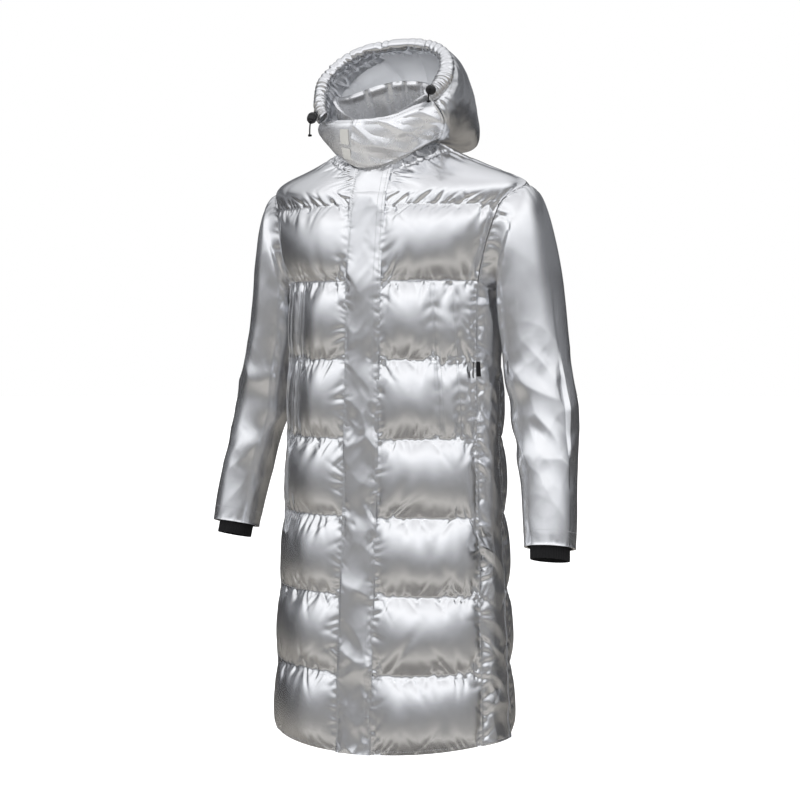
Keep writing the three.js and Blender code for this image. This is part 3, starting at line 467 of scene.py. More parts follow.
# %% Storm flap
FLAP_CLOTH = 2.5
LYING_GAP = 0.4
flap_rings = np.concatenate([lower_rings, upper_rings[1:]])
flap_rings[-1] -= 0.05
flap_x = np.linspace(-FLAP_RIGHT, FLAP_LEFT - 1, 17)
flap_angles = angle_at(flap_rings[:, None], flap_x[None])
ridge = 2.2 * np.sin(np.pi * np.linspace(0, 1, 17)) ** 0.5
flap_height = SHELL + LYING_GAP + FLAP_CLOTH + ridge
flap_pins = np.zeros(flap_angles.shape)
flap_pins[:, [0, -1]] = 1
flap_pins[:, [1, -2]] = 0.6
flap_start = body_point(flap_rings[:, None] + 0 * flap_angles, flap_angles, flap_height + 0 * flap_angles)
lay_out("storm_flap", flap_start, flap_pins, flat_cut(flap_start, 0.03, 0.055), down=0.2, reach=6)
cloths["storm_flap"]["inside"] = body_point(flap_rings[:, None] + 0 * flap_angles, flap_angles,
                                            SHELL + LYING_GAP + 0 * flap_angles)

# %% [markdown]
# ## Collar, chin flaps and hood
# The throat is a ring model too, between the neckline and the top of the chin flaps. The hood is a row
# of arches, from the face to the nape, that stand on the throat.

# %% The throat
THROAT_TOP = {"left": (52, 98, 130, 114, 112, 80, 0, 2.2), "right": (52, 60, 130, 112, 112, 80, 0, 2.2)}
COLLAR_TOP = (50, 104, 136, 102, 70, 68, -28, 2.0)
THROAT_BELLY = {"left": (9, 30, 0.5), "right": (9, 35, 0.33)}  # in front, at the side, and its power
COLLAR_WALL, HOOD_WALL, LINING_WALL = 5.0, 3.0, 1.2


def throat_point(angle, height, side, lift=0.0):
    angle, height, lift = np.broadcast_arrays(*(np.asarray(v, float) for v in (angle, height, lift)))
    low = body_point(NECK + 0 * angle, angle, SHELL + LYING_GAP + 0 * angle)
    high = ring_point(np.broadcast_to(THROAT_TOP[side], angle.shape + (8,)), angle)
    s, c = np.sin(np.radians(angle)), np.cos(np.radians(angle))
    front, flank, power = THROAT_BELLY[side]
    belly = (front + (flank - front) * s * s) * np.sin(np.pi * np.clip(height, 0, 1)) ** power
    return low + (high - low) * height[..., None] + np.stack([s, -c, 0 * s], -1) * (belly + lift)[..., None]


# %% Collar
collar_angles = np.arange(96) * 360 / 96
low = body_point(NECK + 0 * collar_angles, collar_angles)
low = low - 1.8 * low * (1, 1, 0) / np.linalg.norm(low[:, :2], axis=1, keepdims=True)
top = ring_point(np.broadcast_to(COLLAR_TOP, (96, 8)), collar_angles)
collar_heights = np.concatenate([[0], np.linspace(0, 1, 24)])
collar_net = np.stack([low + (0, 0, -6)] + [low + (top - low) * h for h in collar_heights[1:]])
pinned = np.zeros(collar_net.shape[:2])
pinned[[0, 1, -1]] = 1
facing = outward(collar_net)
lay_out("collar_inside", collar_net - facing * COLLAR_WALL, pinned,
        tube_cut(collar_net - facing * COLLAR_WALL, 0.11, 0.01), reach=6, loop=True)
cloths["collar_inside"]["inside"] = collar_net

# %% Hood arches and chin flaps
# top y, z, half width, y and z of the widest point, angle and rise of the foot, roundness
HOOD = np.array([
    (40, 200, 124, -30, 118, 62, 0.92, 0.8),
    (72, 204, 131, -4, 102, 70, 0.5, 0.86),
    (108, 190, 132, 22, 86, 78, 0.06, 0.9),
    (138, 158, 130, 52, 66, 94, 0, 0.9),
    (152, 106, 124, 82, 44, 110, 0, 0.9),
    (156, 62, 113, 106, 24, 126, 0, 0.9),
    (148, 24, 94, 116, 10, 140, 0, 0.9),
    (126, 12, 66, 108, 14, 152, 0, 0.9),
    (100, 24, 40, 92, 26, 163, 0, 0.9),
    (78, 37, 20, 76, 37, 171, 0, 0.9),
], float)


def arch_point(place, step, side):
    """A point of the hood: step is -90 at an arch's foot, 0 at its widest point and 90 at its top."""
    place, step = np.broadcast_arrays(np.asarray(place, float), np.asarray(step, float))
    arch = np.moveaxis(on_curve(HOOD, place), -1, 0)
    top_y, top_z, wide, wide_y, wide_z, foot_angle, foot_rise, roundness = arch
    foot = throat_point(foot_angle, np.maximum(0, foot_rise), side)
    s, c = np.sin(np.radians(step)), np.maximum(0, np.cos(np.radians(step)))
    mix = lambda a, b, t: a + (b - a) * t
    foot_x, foot_y, foot_z = np.moveaxis(foot, -1, 0)
    lower = np.stack([mix(foot_x, wide, c), mix(wide_y, foot_y, -s), mix(wide_z, foot_z, -s)], -1)
    upper = np.stack([wide * c ** roundness, mix(wide_y, top_y, s), mix(wide_z, top_z, s)], -1)
    return np.where((step < 0)[..., None], lower, upper)


def away_from(net, centre):
    """Normals of a net, away from a point."""
    normal = net_normals(net, False)
    return normal if (normal * (net - centre)).sum(-1).mean() > 0 else -normal


HOOD_CENTRE = (0, 40, 90)
for side, mirror in (("left", False), ("right", True)):
    flip = (-1, 1, 1) if mirror else (1, 1, 1)
    place, step = np.meshgrid(np.linspace(0, 9, 57), np.linspace(-90, 90, 49), indexing="ij")
    net = arch_point(place, step, side)
    net[:, -1, 0] = 0.15
    facing = away_from(net, HOOD_CENTRE)
    puffed = net + facing * (3.5 * np.sin(np.pi * np.linspace(0, 1, 49)) ** 0.5
                             * np.sin(np.pi * np.linspace(0, 1, 57))[:, None] ** 0.5)[..., None]
    pinned = np.zeros(place.shape)
    pinned[[0, -1]] = pinned[:, [0, -1]] = 1
    lay_out("hood_" + side, puffed, pinned, puffed * 1.035, down=0.25, reach=6, stiff=0.2, mirror=mirror)
    cloths["hood_" + side]["inside"] = (net - facing * HOOD_WALL) * flip
    inner = net - facing * (HOOD_WALL + LYING_GAP)
    cut = (slice(4, 53), slice(8, 49))
    pins = np.zeros(inner[cut].shape[:2])
    pins[[0, -1]] = pins[:, [0, -1]] = 1
    lining_net = (inner - facing * LINING_WALL)[cut]
    lay_out("hood_lining_" + side, lining_net, pins, lining_net * 1.03, reach=4, stiff=0.5, mirror=mirror)
    cloths["hood_lining_" + side]["inside"] = inner[cut] * flip

CHIN_ENDS = {"left": (-15, -6), "right": (9, 9)}  # angles of a flap's free end, below and above
CHIN_FOOT, CHIN_CELLS = 0.06, 24
CHIN_LIFT = {"left": 7, "right": 0}  # the left flap lies over the right one
for side, mirror in (("left", False), ("right", True)):
    flip = (-1, 1, 1) if mirror else (1, 1, 1)
    heights = np.linspace(CHIN_FOOT, 1, CHIN_CELLS + 1)
    place = np.interp(heights, [CHIN_FOOT, 0.5, 0.92, 1], [2, 1, 0, 0])
    ends = on_curve(HOOD, place)[:, 5] - (0.45 if side == "left" else 0.9)
    t = np.linspace(0, 1, 49 if side == "left" else 33)
    free = np.interp(heights, [CHIN_FOOT, 1], CHIN_ENDS[side])
    angles = free[:, None] + (ends - free)[:, None] * t
    lift = CHIN_LIFT[side] * (1 - t) + 0 * angles
    net = throat_point(angles, heights[:, None] + 0 * angles, side, lift)
    facing = away_from(net, (0, 0, 40))
    pinned = np.zeros(net.shape[:2])
    pinned[0] = pinned[:, -1] = 1
    pinned[-1] = pinned[:, 0] = 0.7
    lay_out("chin_flap_" + side, net, pinned, flat_cut(net, 0.03, 0.1), down=0.2, reach=7, stiff=0.15,
            mirror=mirror)
    cloths["chin_flap_" + side]["inside"] = (net - facing * SHELL) * flip

# %% [markdown]
# ## Let the cloth settle
# Every net becomes a mesh with a Cloth modifier. Pinned points hold, gravity is off, and a seeded
# jitter of a tenth of a millimetre tells the cloth which way to buckle. A point that moved further
# than the padding lets it is pulled back, so that the coat keeps its size.

# %% Run the solver once for all pieces
STEPS = 26


def facing_out(net, inside, loop):
    """1 where a net's normals point away from the cloth's inside, -1 where they point into it."""
    return np.sign((net_normals(net, loop) * (net - inside)).sum())


def cloth_object(name, cloth, seed):
    net = cloth["net"]
    rows, columns = net.shape[:2]
    jitter = np.random.default_rng(seed).normal(0, 0.12, net.shape) * (1 - cloth["pinned"])[..., None]
    mesh = bpy.data.meshes.new("settling_" + name)
    faces = net_faces(rows, columns, cloth["loop"])
    if facing_out(net, cloth["inside"], cloth["loop"]) < 0:
        faces = faces[:, ::-1]
    mesh.from_pydata(((net + jitter).reshape(-1, 3) * MM).tolist(), [], faces.tolist())
    settling = bpy.data.objects.new("settling_" + name, mesh)
    bpy.context.scene.collection.objects.link(settling)
    settling.shape_key_add(name="start")
    cut = settling.shape_key_add(name="cut")
    cut.data.foreach_set("co", (cloth["cut"] * MM).ravel())
    pins = settling.vertex_groups.new(name="pins")
    for value in np.unique(cloth["pinned"]):
        if value > 0:
            pins.add(np.flatnonzero(cloth["pinned"].ravel() == value).tolist(), float(value), "REPLACE")
    modifier = settling.modifiers.new("cloth", "CLOTH")
    cloth_settings = modifier.settings
    cloth_settings.quality = 4
    cloth_settings.mass = 0.02
    cloth_settings.tension_stiffness = cloth_settings.compression_stiffness = 12
    cloth_settings.shear_stiffness = 3
    cloth_settings.bending_stiffness = cloth["stiff"]
    cloth_settings.air_damping = 1
    cloth_settings.vertex_group_mass = "pins"
    cloth_settings.pin_stiffness = 5
    cloth_settings.rest_shape_key = cut
    cloth_settings.use_pressure = cloth["down"] > 0
    cloth_settings.uniform_pressure_force = cloth["down"]
    cloth_settings.effector_weights.gravity = 0
    modifier.collision_settings.use_collision = False
    modifier.collision_settings.use_self_collision = False
    modifier.point_cache.frame_end = STEPS + 1
    return settling


def settle_all():
    scene = bpy.context.scene
    scene.frame_set(1)
    settling = {name: cloth_object(name, cloth, 100 + k) for k, (name, cloth) in enumerate(cloths.items())}
    for step in range(2, STEPS + 1):
        scene.frame_set(step)
    graph = bpy.context.evaluated_depsgraph_get()
    for name, item in settling.items():
        mesh = item.evaluated_get(graph).data
        points = np.empty(len(mesh.vertices) * 3)
        mesh.vertices.foreach_get("co", points)
        cloth = cloths[name]
        move = points.reshape(cloth["net"].shape) / MM - cloth["net"]
        size = np.linalg.norm(move, axis=-1, keepdims=True)
        reach = cloth["reach"]
        eased = np.where(size > reach / 2, reach / 2 * (1 + np.tanh(2 * size / reach - 1)), size)
        move *= eased / np.maximum(size, 1e-9) * (1 - (cloth["pinned"] == 1))[..., None]
        cloth["settled"] = cloth["net"] + move
        print(name, "moved up to", round(float(size.max()), 1), "mm, usually", round(float(np.median(size)), 1))
    for item in settling.values():
        mesh = item.data
        bpy.data.objects.remove(item)
        bpy.data.meshes.remove(mesh)
    scene.frame_set(1)


settle_all()

# %% [markdown]
# ## Fine creases
# The down keeps the middle of a baffle smooth, so the settled nets are ironed first, and then made
# twice as fine. Beside a seam the shell is gathered: short creases run away from the stitches, some
# long, most short, and lean one way or the other. Cloth without down is crumpled instead: shallow
# pits whose borders meet in ridges, as in foil that was folded and smoothed.

# %% Iron a net, refine it and measure it
def ironed(net, kept_rows, times, loop):
    """The net drawn smooth, but for its edges and the rows that are sewn."""
    smooth = net.copy()
    columns = slice(None) if loop else slice(1, -1)
    for _ in range(times):
        beside = np.roll(smooth, 1, 0) + np.roll(smooth, -1, 0) + np.roll(smooth, 1, 1) + np.roll(smooth, -1, 1)
        smooth[1:-1, columns] += 0.6 * (beside / 4 - smooth)[1:-1, columns]
        smooth[kept_rows] = net[kept_rows]
    return smooth


def finer(net, loop):
    """The same net with a new row and column between every two."""
    rows = on_curve(net, np.arange(2 * len(net) - 1) / 2)
    turned = np.moveaxis(rows, 1, 0)
    if loop:
        turned = np.concatenate([turned[-1:], turned, turned[:2]])
        at = 1 + np.arange(2 * net.shape[1]) / 2
    else:
        at = np.arange(2 * net.shape[1] - 1) / 2
    return np.moveaxis(on_curve(turned, at), 0, 1)


def cloth_places(fine):
    """Millimetres along the rows and the columns of a net."""
    rows, columns = fine.shape[:2]
    steps = [np.linalg.norm(np.diff(fine, axis=axis), axis=-1) for axis in (1, 0)]
    across = np.concatenate([np.zeros((rows, 1)), np.cumsum(steps[0], 1)], 1)
    up = np.concatenate([np.zeros((1, columns)), np.cumsum(steps[1], 0)], 0)
    return across - across[:, columns // 2, None], up - up[rows // 2]


# %% Gathers and crumples
def gathers(along, away, rng, spacing, length, depth, lean=0.45):
    """Depths of the creases that run away from one seam. along and away are in millimetres."""
    depths = np.zeros(along.shape)
    at, end = along.min(), along.max()
    while at < end:
        at += spacing * rng.uniform(0.5, 1.5)
        reach, wide = length * min(1.5, rng.lognormal(-0.15, 0.6)), spacing * rng.uniform(0.2, 0.32)
        tilt, deep = rng.normal(0, lean), depth * rng.uniform(0.35, 1.0)
        near = away < 2.2 * reach
        offset = along[near] - at - tilt * away[near]
        broad = wide * (1 + 0.8 * away[near] / reach)
        depths[near] += deep * np.exp(-(offset / broad) ** 2 - (away[near] / reach) ** 2)
    return depths


def crumpled(across, up, rng, size, depth, turn=0.0, stretch=1.0):
    """Heights of crumpled cloth, whose pits are about size across and stretch times as long."""
    c, s = math.cos(math.radians(turn)), math.sin(math.radians(turn))
    x, y = (across * c + up * s) / size, (up * c - across * s) / size / stretch
    count = int((np.ptp(x) + 2) * (np.ptp(y) + 2)) + 4
    middles = rng.uniform((x.min() - 1, y.min() - 1), (x.max() + 1, y.max() + 1), (count, 2))
    slopes = rng.uniform(0.45, 1.5, count)
    height = np.full(x.shape, 9.0)
    for (mx, my), slope in zip(middles, slopes):
        height = np.minimum(height, slope * np.sqrt((x - mx) ** 2 + (y - my) ** 2 + 0.006))
    return depth * (np.minimum(height, 1.1) - 0.45)


def from_column(across, column):
    """How far every point of a net is from a column of it."""
    return np.abs(across - across[:, column, None])


# %% [markdown]
# Each kind of piece has its own rule. A rule is given the millimetres across and up a net, and says how
# far creases move the net outwards, and how far its seams draw it in.

# %% Creases of the quilted panels
QUILTED = {"front_left", "front_right", "front_yoke_left", "front_yoke_right", "back", "back_yoke"}
QUILTING_GROOVE, GROOVE_WIDTH = 1.7, 2.2
HIDDEN_COLUMNS = 8  # of a refined front, below the storm flap
POCKET_ROWS = slice(8 * BAFFLE_CELLS, 12 * BAFFLE_CELLS)  # of a refined front
MOUTH_GROOVE, WELT_GROOVE, WELT_GROOVE_WIDTH = 6.0, 1.5, 2.4
GATHER = dict(spacing=10.0, length=20.0, depth=3.4)
LONG_GATHER = dict(spacing=27.0, length=40.0, depth=3.0, lean=0.22)
SIDE_GATHER = dict(spacing=12.0, length=16.0, depth=1.8)
WELT_GATHER = dict(spacing=24.0, length=14.0, depth=1.2)


def quilting_rows(name, rows):
    """The rows of a refined net that lie on a quilting line or a seam."""
    return [*range(0, rows, 2 * BAFFLE_CELLS)] + ([rows - 1] if "yoke" in name else [])


def panel_creases(name, across, up, rng):
    rows, columns = across.shape
    moved, seams = np.zeros((2, rows, columns))
    for row in quilting_rows(name, rows):
        away = np.abs(up - up[row])
        seams += QUILTING_GROOVE * np.exp(-(away / GROOVE_WIDTH) ** 2)
        for half in (slice(None, row + 1), slice(row, None)):
            moved[half] -= gathers(across[half], away[half], rng, **GATHER)
            moved[half] -= gathers(across[half], away[half], rng, **LONG_GATHER)
    first = HIDDEN_COLUMNS if name.startswith("front") else 0
    for column in (first, columns - 1):
        away = from_column(across, column)
        away[:, :first] = 1e3
        moved -= gathers(up, away, rng, **SIDE_GATHER)
    if name in ("front_left", "front_right"):
        for column, groove in ((2 * MOUTH_COLUMN, MOUTH_GROOVE), (2 * WELT_COLUMN, WELT_GROOVE)):
            away = from_column(across, column)[POCKET_ROWS]
            moved[POCKET_ROWS] -= gathers(up[POCKET_ROWS], away, rng, **WELT_GATHER)
            moved[POCKET_ROWS] -= groove * np.exp(-(away / WELT_GROOVE_WIDTH) ** 2)
    return moved, seams


# %% Creases of side panels and sleeves
SIDE_CRUMPLE = dict(size=30, depth=6.0, turn=40, stretch=1.8)
PANEL_GATHER = dict(spacing=12, length=22, depth=2.4, lean=0.9)
SLEEVE_CRUMPLE = dict(size=62, depth=8.0, turn=28, stretch=1.9)
ELBOW_CRUMPLE = dict(size=34, depth=3.2, turn=-30, stretch=1.7)
ELBOW, ELBOW_REACH, ABOVE_ELBOW = 0.66, 0.17, 0.16  # the first two as shares of the sleeve's length
ARMHOLE_GATHER = dict(spacing=12, length=26, depth=2.0, lean=0.3)
SLEEVE_HEM_GATHER = dict(spacing=16, length=22, depth=0.9, lean=0.3)


def side_creases(name, across, up, rng):
    moved = crumpled(across, up, rng, **SIDE_CRUMPLE)
    for column in (0, across.shape[1] - 1):
        moved -= gathers(up, from_column(across, column), rng, **PANEL_GATHER)
    return moved, 0


def sleeve_creases(name, across, up, rng):
    place = np.linspace(0, 1, len(up))[:, None]
    elbow = np.exp(-((place - ELBOW) / ELBOW_REACH) ** 2)
    moved = crumpled(across, up, rng, **SLEEVE_CRUMPLE) * (ABOVE_ELBOW + elbow)
    moved += crumpled(across, up, rng, **ELBOW_CRUMPLE) * elbow
    moved -= gathers(across, up - up[0], rng, **ARMHOLE_GATHER)
    moved -= gathers(across, up[-1] - up, rng, **SLEEVE_HEM_GATHER)
    return moved, 0


# %% Creases of the storm flap
FLAP_CRUMPLE = dict(size=36, depth=9.0, turn=32, stretch=1.9)
FINE_FLAP_CRUMPLE = dict(size=24, depth=2.4, turn=-40, stretch=2.2)
FLAP_GATHER = dict(spacing=9, length=9, depth=1.1, lean=0.6)
SMOOTHER_UP = ([0, 5.2, 6.2, 8], [1.15, 1.0, 0.55, 0.45])  # lines up the flap, and how crumpled it is there


def flap_creases(name, across, up, rng):
    rows, columns = across.shape
    sag = np.abs((np.linspace(0, CHEST + 2, rows)[:, None] + 0.5) % 1 - 0.5)  # 0 at a quilting line, 0.5 between
    folded = 0.35 + 0.75 * np.exp(-(sag / 0.22) ** 2)
    folded *= np.interp(np.linspace(0, CHEST + 2, rows), *SMOOTHER_UP)[:, None]
    moved = crumpled(across, up, rng, **FLAP_CRUMPLE) * folded
    moved += crumpled(across, up, rng, **FINE_FLAP_CRUMPLE) * folded
    for column in (0, columns - 1):
        moved -= gathers(up, from_column(across, column), rng, **FLAP_GATHER)
    return moved, sag


# %% Creases of collar, chin flaps and hood
CHIN_CRUMPLE, FINE_CHIN_CRUMPLE = dict(size=34, turn=62, stretch=3.4), dict(size=20, turn=50, stretch=2.8)
CHIN_DEPTH = {"chin_flap_left": 12.0, "chin_flap_right": 3.0}
COLLAR_CRUMPLE = dict(size=24, depth=6.0, turn=6, stretch=3.6)
COLLAR_FOLDS = (158, 178, 196, 222, 128)  # where the collar folds deepest, in degrees round the neck
COLLAR_FOLD, COLLAR_FOLD_WIDTH, COLLAR_ROLL = 12.0, 2.4, 4.0
LINING_CRUMPLE = dict(size=60, depth=5.0, turn=60, stretch=1.6)
LINING_SEAMS, LINING_GROOVE, LINING_LOFT = (0.28, 0.56, 0.8), 6.5, 3.5
HOOD_CRUMPLE = dict(size=46, depth=8.0, turn=60, stretch=2.2)
FINE_HOOD_CRUMPLE = dict(size=20, depth=2.0, turn=75, stretch=2.4)
HOOD_GATHER = dict(spacing=9, length=24, depth=2.2, lean=0.5)


def chin_creases(name, across, up, rng):
    deep = CHIN_DEPTH[name]
    moved = crumpled(across, up, rng, depth=deep, **CHIN_CRUMPLE)
    return moved + crumpled(across, up, rng, depth=deep / 7, **FINE_CHIN_CRUMPLE), 0


def collar_creases(name, across, up, rng):
    rows, columns = across.shape
    moved = crumpled(across, up, rng, **COLLAR_CRUMPLE)
    moved += COLLAR_ROLL * np.exp(-((np.arange(rows) - rows + 4) / 2.5) ** 2)[:, None]
    for place in COLLAR_FOLDS:
        turned = np.arange(columns) / columns * 360 - place
        moved -= COLLAR_FOLD * np.exp(-(turned / COLLAR_FOLD_WIDTH) ** 2)[None]
    return moved, 0


def lining_creases(name, across, up, rng):
    moved = LINING_LOFT + crumpled(across, up, rng, **LINING_CRUMPLE)
    for place in LINING_SEAMS:
        apart = np.linspace(0, 1, across.shape[1])[None] - place + 0.05 * np.sin(up / 40)
        moved -= LINING_GROOVE * np.exp(-(apart * 34) ** 2)
    return moved, 0


def hood_creases(name, across, up, rng):
    moved = crumpled(across, up, rng, **HOOD_CRUMPLE) + crumpled(across, up, rng, **FINE_HOOD_CRUMPLE)
    for row in (0, len(up) - 1):
        moved -= gathers(across, np.abs(up - up[row]), rng, **HOOD_GATHER)
    return moved, 0


CREASES = {"front": panel_creases, "back": panel_creases, "side": side_creases, "sleeve": sleeve_creases,
           "storm_flap": flap_creases, "chin": chin_creases, "collar": collar_creases,
           "hood_lining": lining_creases, "hood": hood_creases}

# %% Iron, refine and crease every net
DOWN_IRONED, CLOTH_IRONED = 24, 8
FIRST_SEED = 40
LEAST_HELD = 0.12  # how much of a crease is left on a sewn edge
fine_nets = {}
for seed, (name, cloth) in enumerate(cloths.items()):
    settled, loop = cloth["settled"], cloth["loop"]
    if name in QUILTED:
        settled = ironed(settled, [*range(0, len(settled), BAFFLE_CELLS), len(settled) - 1], DOWN_IRONED, False)
    else:
        settled = ironed(settled, [0, -1], CLOTH_IRONED, loop)
    fine = finer(settled, loop)
    sewn = finer(1.0 * (cloth["pinned"] == 1)[..., None], loop)[..., 0]
    held = np.clip(1.3 * (1 - sewn), LEAST_HELD, 1)
    normal = net_normals(fine, loop) * facing_out(cloth["settled"], cloth["inside"], loop)
    crease = next(rule for start, rule in CREASES.items() if name.startswith(start))
    moved, seams = crease(name, *cloth_places(fine), np.random.default_rng(FIRST_SEED + seed))
    lift = moved * held - seams
    fine_nets[name] = (fine + normal * lift[..., None], normal)
print(len(fine_nets), "nets creased")

# %% [markdown]
# ## Materials
# The shell is a thin nylon with a metal film pressed onto it: foil-like, but soft. The film makes it
# reflect as metal does, and the weave under it spreads the reflection. Wrinkles that are too fine for
# the net are a slight bump. On the collar and the chin flaps the film is thinner, so that the white
# nylon below it shows a little.

# %% One function for colours and one for nodes
def colour(hex_code, alpha=1.0):
    """An sRGB hex colour, made linear."""
    parts = [int(hex_code[k:k + 2], 16) / 255 for k in (0, 2, 4)]
    return tuple(c / 12.92 if c <= 0.04045 else ((c + 0.055) / 1.055) ** 2.4 for c in parts) + (alpha,)


def node(tree, kind, settings=None, inputs=None):
    """Adds a node, with its settings, and its inputs as values or as sockets to link."""
    made = tree.nodes.new(kind)
    for key, value in (settings or {}).items():
        setattr(made, key, value)
    for key, value in (inputs or {}).items():
        if isinstance(value, bpy.types.NodeSocket):
            tree.links.new(value, made.inputs[key])
        else:
            made.inputs[key].default_value = value
    return made


def new_material(name):
    material = bpy.data.materials.new(name)
    material.use_nodes = True
    material.node_tree.nodes.clear()
    return material, material.node_tree


def surface(tree, settings):
    shader = node(tree, "ShaderNodeBsdfPrincipled", None, settings)
    node(tree, "ShaderNodeOutputMaterial", None, {"Surface": shader.outputs[0]})
    return shader


# %% Metallised nylon
def metallised_nylon(name, base, worn, roughness, metallic):
    """Foil-faced shell cloth with a weave of 0.4 mm, slight wrinkles and dull places where it has worn."""
    material, tree = new_material(name)
    place = node(tree, "ShaderNodeTexCoord").outputs["Object"]
    clouds = node(tree, "ShaderNodeTexNoise", None, {"Vector": place, "Scale": 9.0, "Detail": 3.0}).outputs[0]
    mixed = node(tree, "ShaderNodeMix", {"data_type": "RGBA"}, {"Factor": clouds})
    mixed.inputs["A"].default_value = colour(base)
    mixed.inputs["B"].default_value = colour(worn)
    wrinkles = node(tree, "ShaderNodeTexNoise", None, {
        "Vector": place, "Scale": 60.0, "Detail": 4.0, "Roughness": 0.5, "Distortion": 0.8}).outputs[0]
    weave = node(tree, "ShaderNodeTexNoise", None, {"Vector": place, "Scale": 2500.0, "Detail": 1.0}).outputs[0]
    fine = node(tree, "ShaderNodeBump", None, {"Height": weave, "Strength": 0.015, "Distance": 0.0003})
    soft = node(tree, "ShaderNodeBump", None, {"Height": wrinkles, "Strength": 0.03, "Distance": 0.002,
                                               "Normal": fine.outputs[0]})
    dull = node(tree, "ShaderNodeMapRange", None, {
        "Value": wrinkles, "From Min": 0.3, "From Max": 0.75, "To Min": roughness - 0.03,
        "To Max": roughness + 0.05}).outputs[0]
    surface(tree, {"Base Color": mixed.outputs["Result"], "Metallic": metallic, "Roughness": dull,
                   "Normal": soft.outputs[0]})
    return material


silver = metallised_nylon("metallised_nylon", "ecedef", "e1e2e5", 0.21, 0.96)
thin_silver = metallised_nylon("thinly_metallised_nylon", "ecedef", "e1e2e5", 0.25, 0.84)


# %% Lining, rib knit, hook-and-loop and plastic
def plain_cloth(name, base, second, scale, roughness, bump, sheen=0.0):
    """Woven or knitted cloth without film: a fine grain, and slight clouds of colour."""
    material, tree = new_material(name)
    place = node(tree, "ShaderNodeTexCoord").outputs["Object"]
    clouds = node(tree, "ShaderNodeTexNoise", None, {"Vector": place, "Scale": 25.0, "Detail": 3.0}).outputs[0]
    grain = node(tree, "ShaderNodeTexNoise", None, {"Vector": place, "Scale": scale, "Detail": 2.0}).outputs[0]
    mixed = node(tree, "ShaderNodeMix", {"data_type": "RGBA"}, {"Factor": clouds})
    mixed.inputs["A"].default_value = colour(base)
    mixed.inputs["B"].default_value = colour(second)
    rough = node(tree, "ShaderNodeBump", None, {"Height": grain, "Strength": bump, "Distance": 0.0006})
    surface(tree, {"Base Color": mixed.outputs["Result"], "Roughness": roughness, "Normal": rough.outputs[0],
                   "Sheen Weight": sheen})
    return material


lining_cloth = plain_cloth("polyester_lining", "d6d8dc", "c8cace", 700, 0.6, 0.25, 0.2)
rib_knit = plain_cloth("acrylic_rib_knit", "111113", "070708", 1100, 0.95, 0.6)
hook_tape = plain_cloth("nylon_loop_tape", "9a9995", "8a8985", 1500, 0.9, 0.9, 0.3)
cord_braid = plain_cloth("braided_cord", "0d0d0e", "060607", 1800, 0.85, 0.8)
lock_plastic = plain_cloth("moulded_nylon_plastic", "0c0c0e", "141416", 260, 0.38, 0.12)

# %% [markdown]
# ## From nets to walls
# A creased net is closed against its plain inside, which needs far fewer points.

# %% Make a wall
def rim(fine, coarse, step, faces):
    """Joins a fine edge to a coarse one whose points are step apart on it."""
    for k in range(len(coarse) - 1):
        run = fine[k * step:k * step + step + 1]
        half = step // 2
        faces += [(run[n + 1], run[n], coarse[k]) for n in range(half)]
        faces.append((run[half], coarse[k], coarse[k + 1]))
        faces += [(run[n + 1], run[n], coarse[k + 1]) for n in range(half, step)]


def wall(name, fine, inside, loop, step):
    """A closed mesh between a fine net and an inside with a point for each step of it."""
    rows, columns = fine.shape[:2]
    in_rows, in_columns = inside.shape[:2]
    outer_faces = net_faces(rows, columns, loop)
    inner_faces = net_faces(in_rows, in_columns, loop)[:, ::-1] + rows * columns
    index = np.arange(rows * columns).reshape(rows, columns)
    inner = rows * columns + np.arange(in_rows * in_columns).reshape(in_rows, in_columns)
    if loop:
        index, inner = np.concatenate([index, index[:, :1]], 1), np.concatenate([inner, inner[:, :1]], 1)
    edges = []
    rim(index[0], inner[0], step, edges)
    rim(index[-1][::-1], inner[-1][::-1], step, edges)
    if not loop:
        rim(index[:, 0][::-1], inner[:, 0][::-1], step, edges)
        rim(index[:, -1], inner[:, -1], step, edges)
    points = np.concatenate([fine.reshape(-1, 3), inside.reshape(-1, 3)]) * MM
    edges = [tuple(map(int, face)) for face in edges]
    made = closed_mesh(name, points, outer_faces.tolist() + inner_faces.tolist() + edges)
    mark_sharp_rim(made.data, rows * columns)
    return made


def closed_mesh(name, points, faces):
    """An object with smooth faces that point outwards."""
    mesh = bpy.data.meshes.new(name)
    mesh.from_pydata(points.tolist(), [], faces)
    if volume(mesh) < 0:
        mesh.flip_normals()
    mesh.polygons.foreach_set("use_smooth", [True] * len(mesh.polygons))
    return linked(name, mesh)


def volume(mesh):
    """Six times the volume inside a mesh, negative if its faces point in."""
    points = np.empty(len(mesh.vertices) * 3)
    mesh.vertices.foreach_get("co", points)
    points = points.reshape(-1, 3)
    mesh.calc_loop_triangles()
    corners = np.empty(len(mesh.loop_triangles) * 3, int)
    mesh.loop_triangles.foreach_get("vertices", corners)
    a, b, c = points[corners.reshape(-1, 3)].transpose(1, 0, 2)
    return float((a * np.cross(b, c)).sum())


def mark_sharp_rim(mesh, outer_count):
    """Edges between the rim, which is of triangles, and either net stay sharp."""
    on_rim = {key for face in mesh.polygons if len(face.vertices) == 3 for key in face.edge_keys}
    pairs = np.empty(len(mesh.edges) * 2, int)
    mesh.edges.foreach_get("vertices", pairs)
    pairs = np.sort(pairs.reshape(-1, 2), 1)
    in_one_net = (pairs[:, 0] < outer_count) == (pairs[:, 1] < outer_count)
    sharp = [within and tuple(pair) in on_rim for within, pair in zip(in_one_net.tolist(), pairs.tolist())]
    mesh.attributes.new("sharp_edge", "BOOLEAN", "EDGE").data.foreach_set("value", sharp)


INSIDE_STEP = 4  # the plain inside has every fourth point of a net
walls = {}
for name, cloth in cloths.items():
    inside = cloth["inside"][::INSIDE_STEP, ::INSIDE_STEP]
    walls[name] = wall(name, fine_nets[name][0], inside, cloth["loop"], 2 * INSIDE_STEP)
    print(name, len(walls[name].data.polygons), "faces")

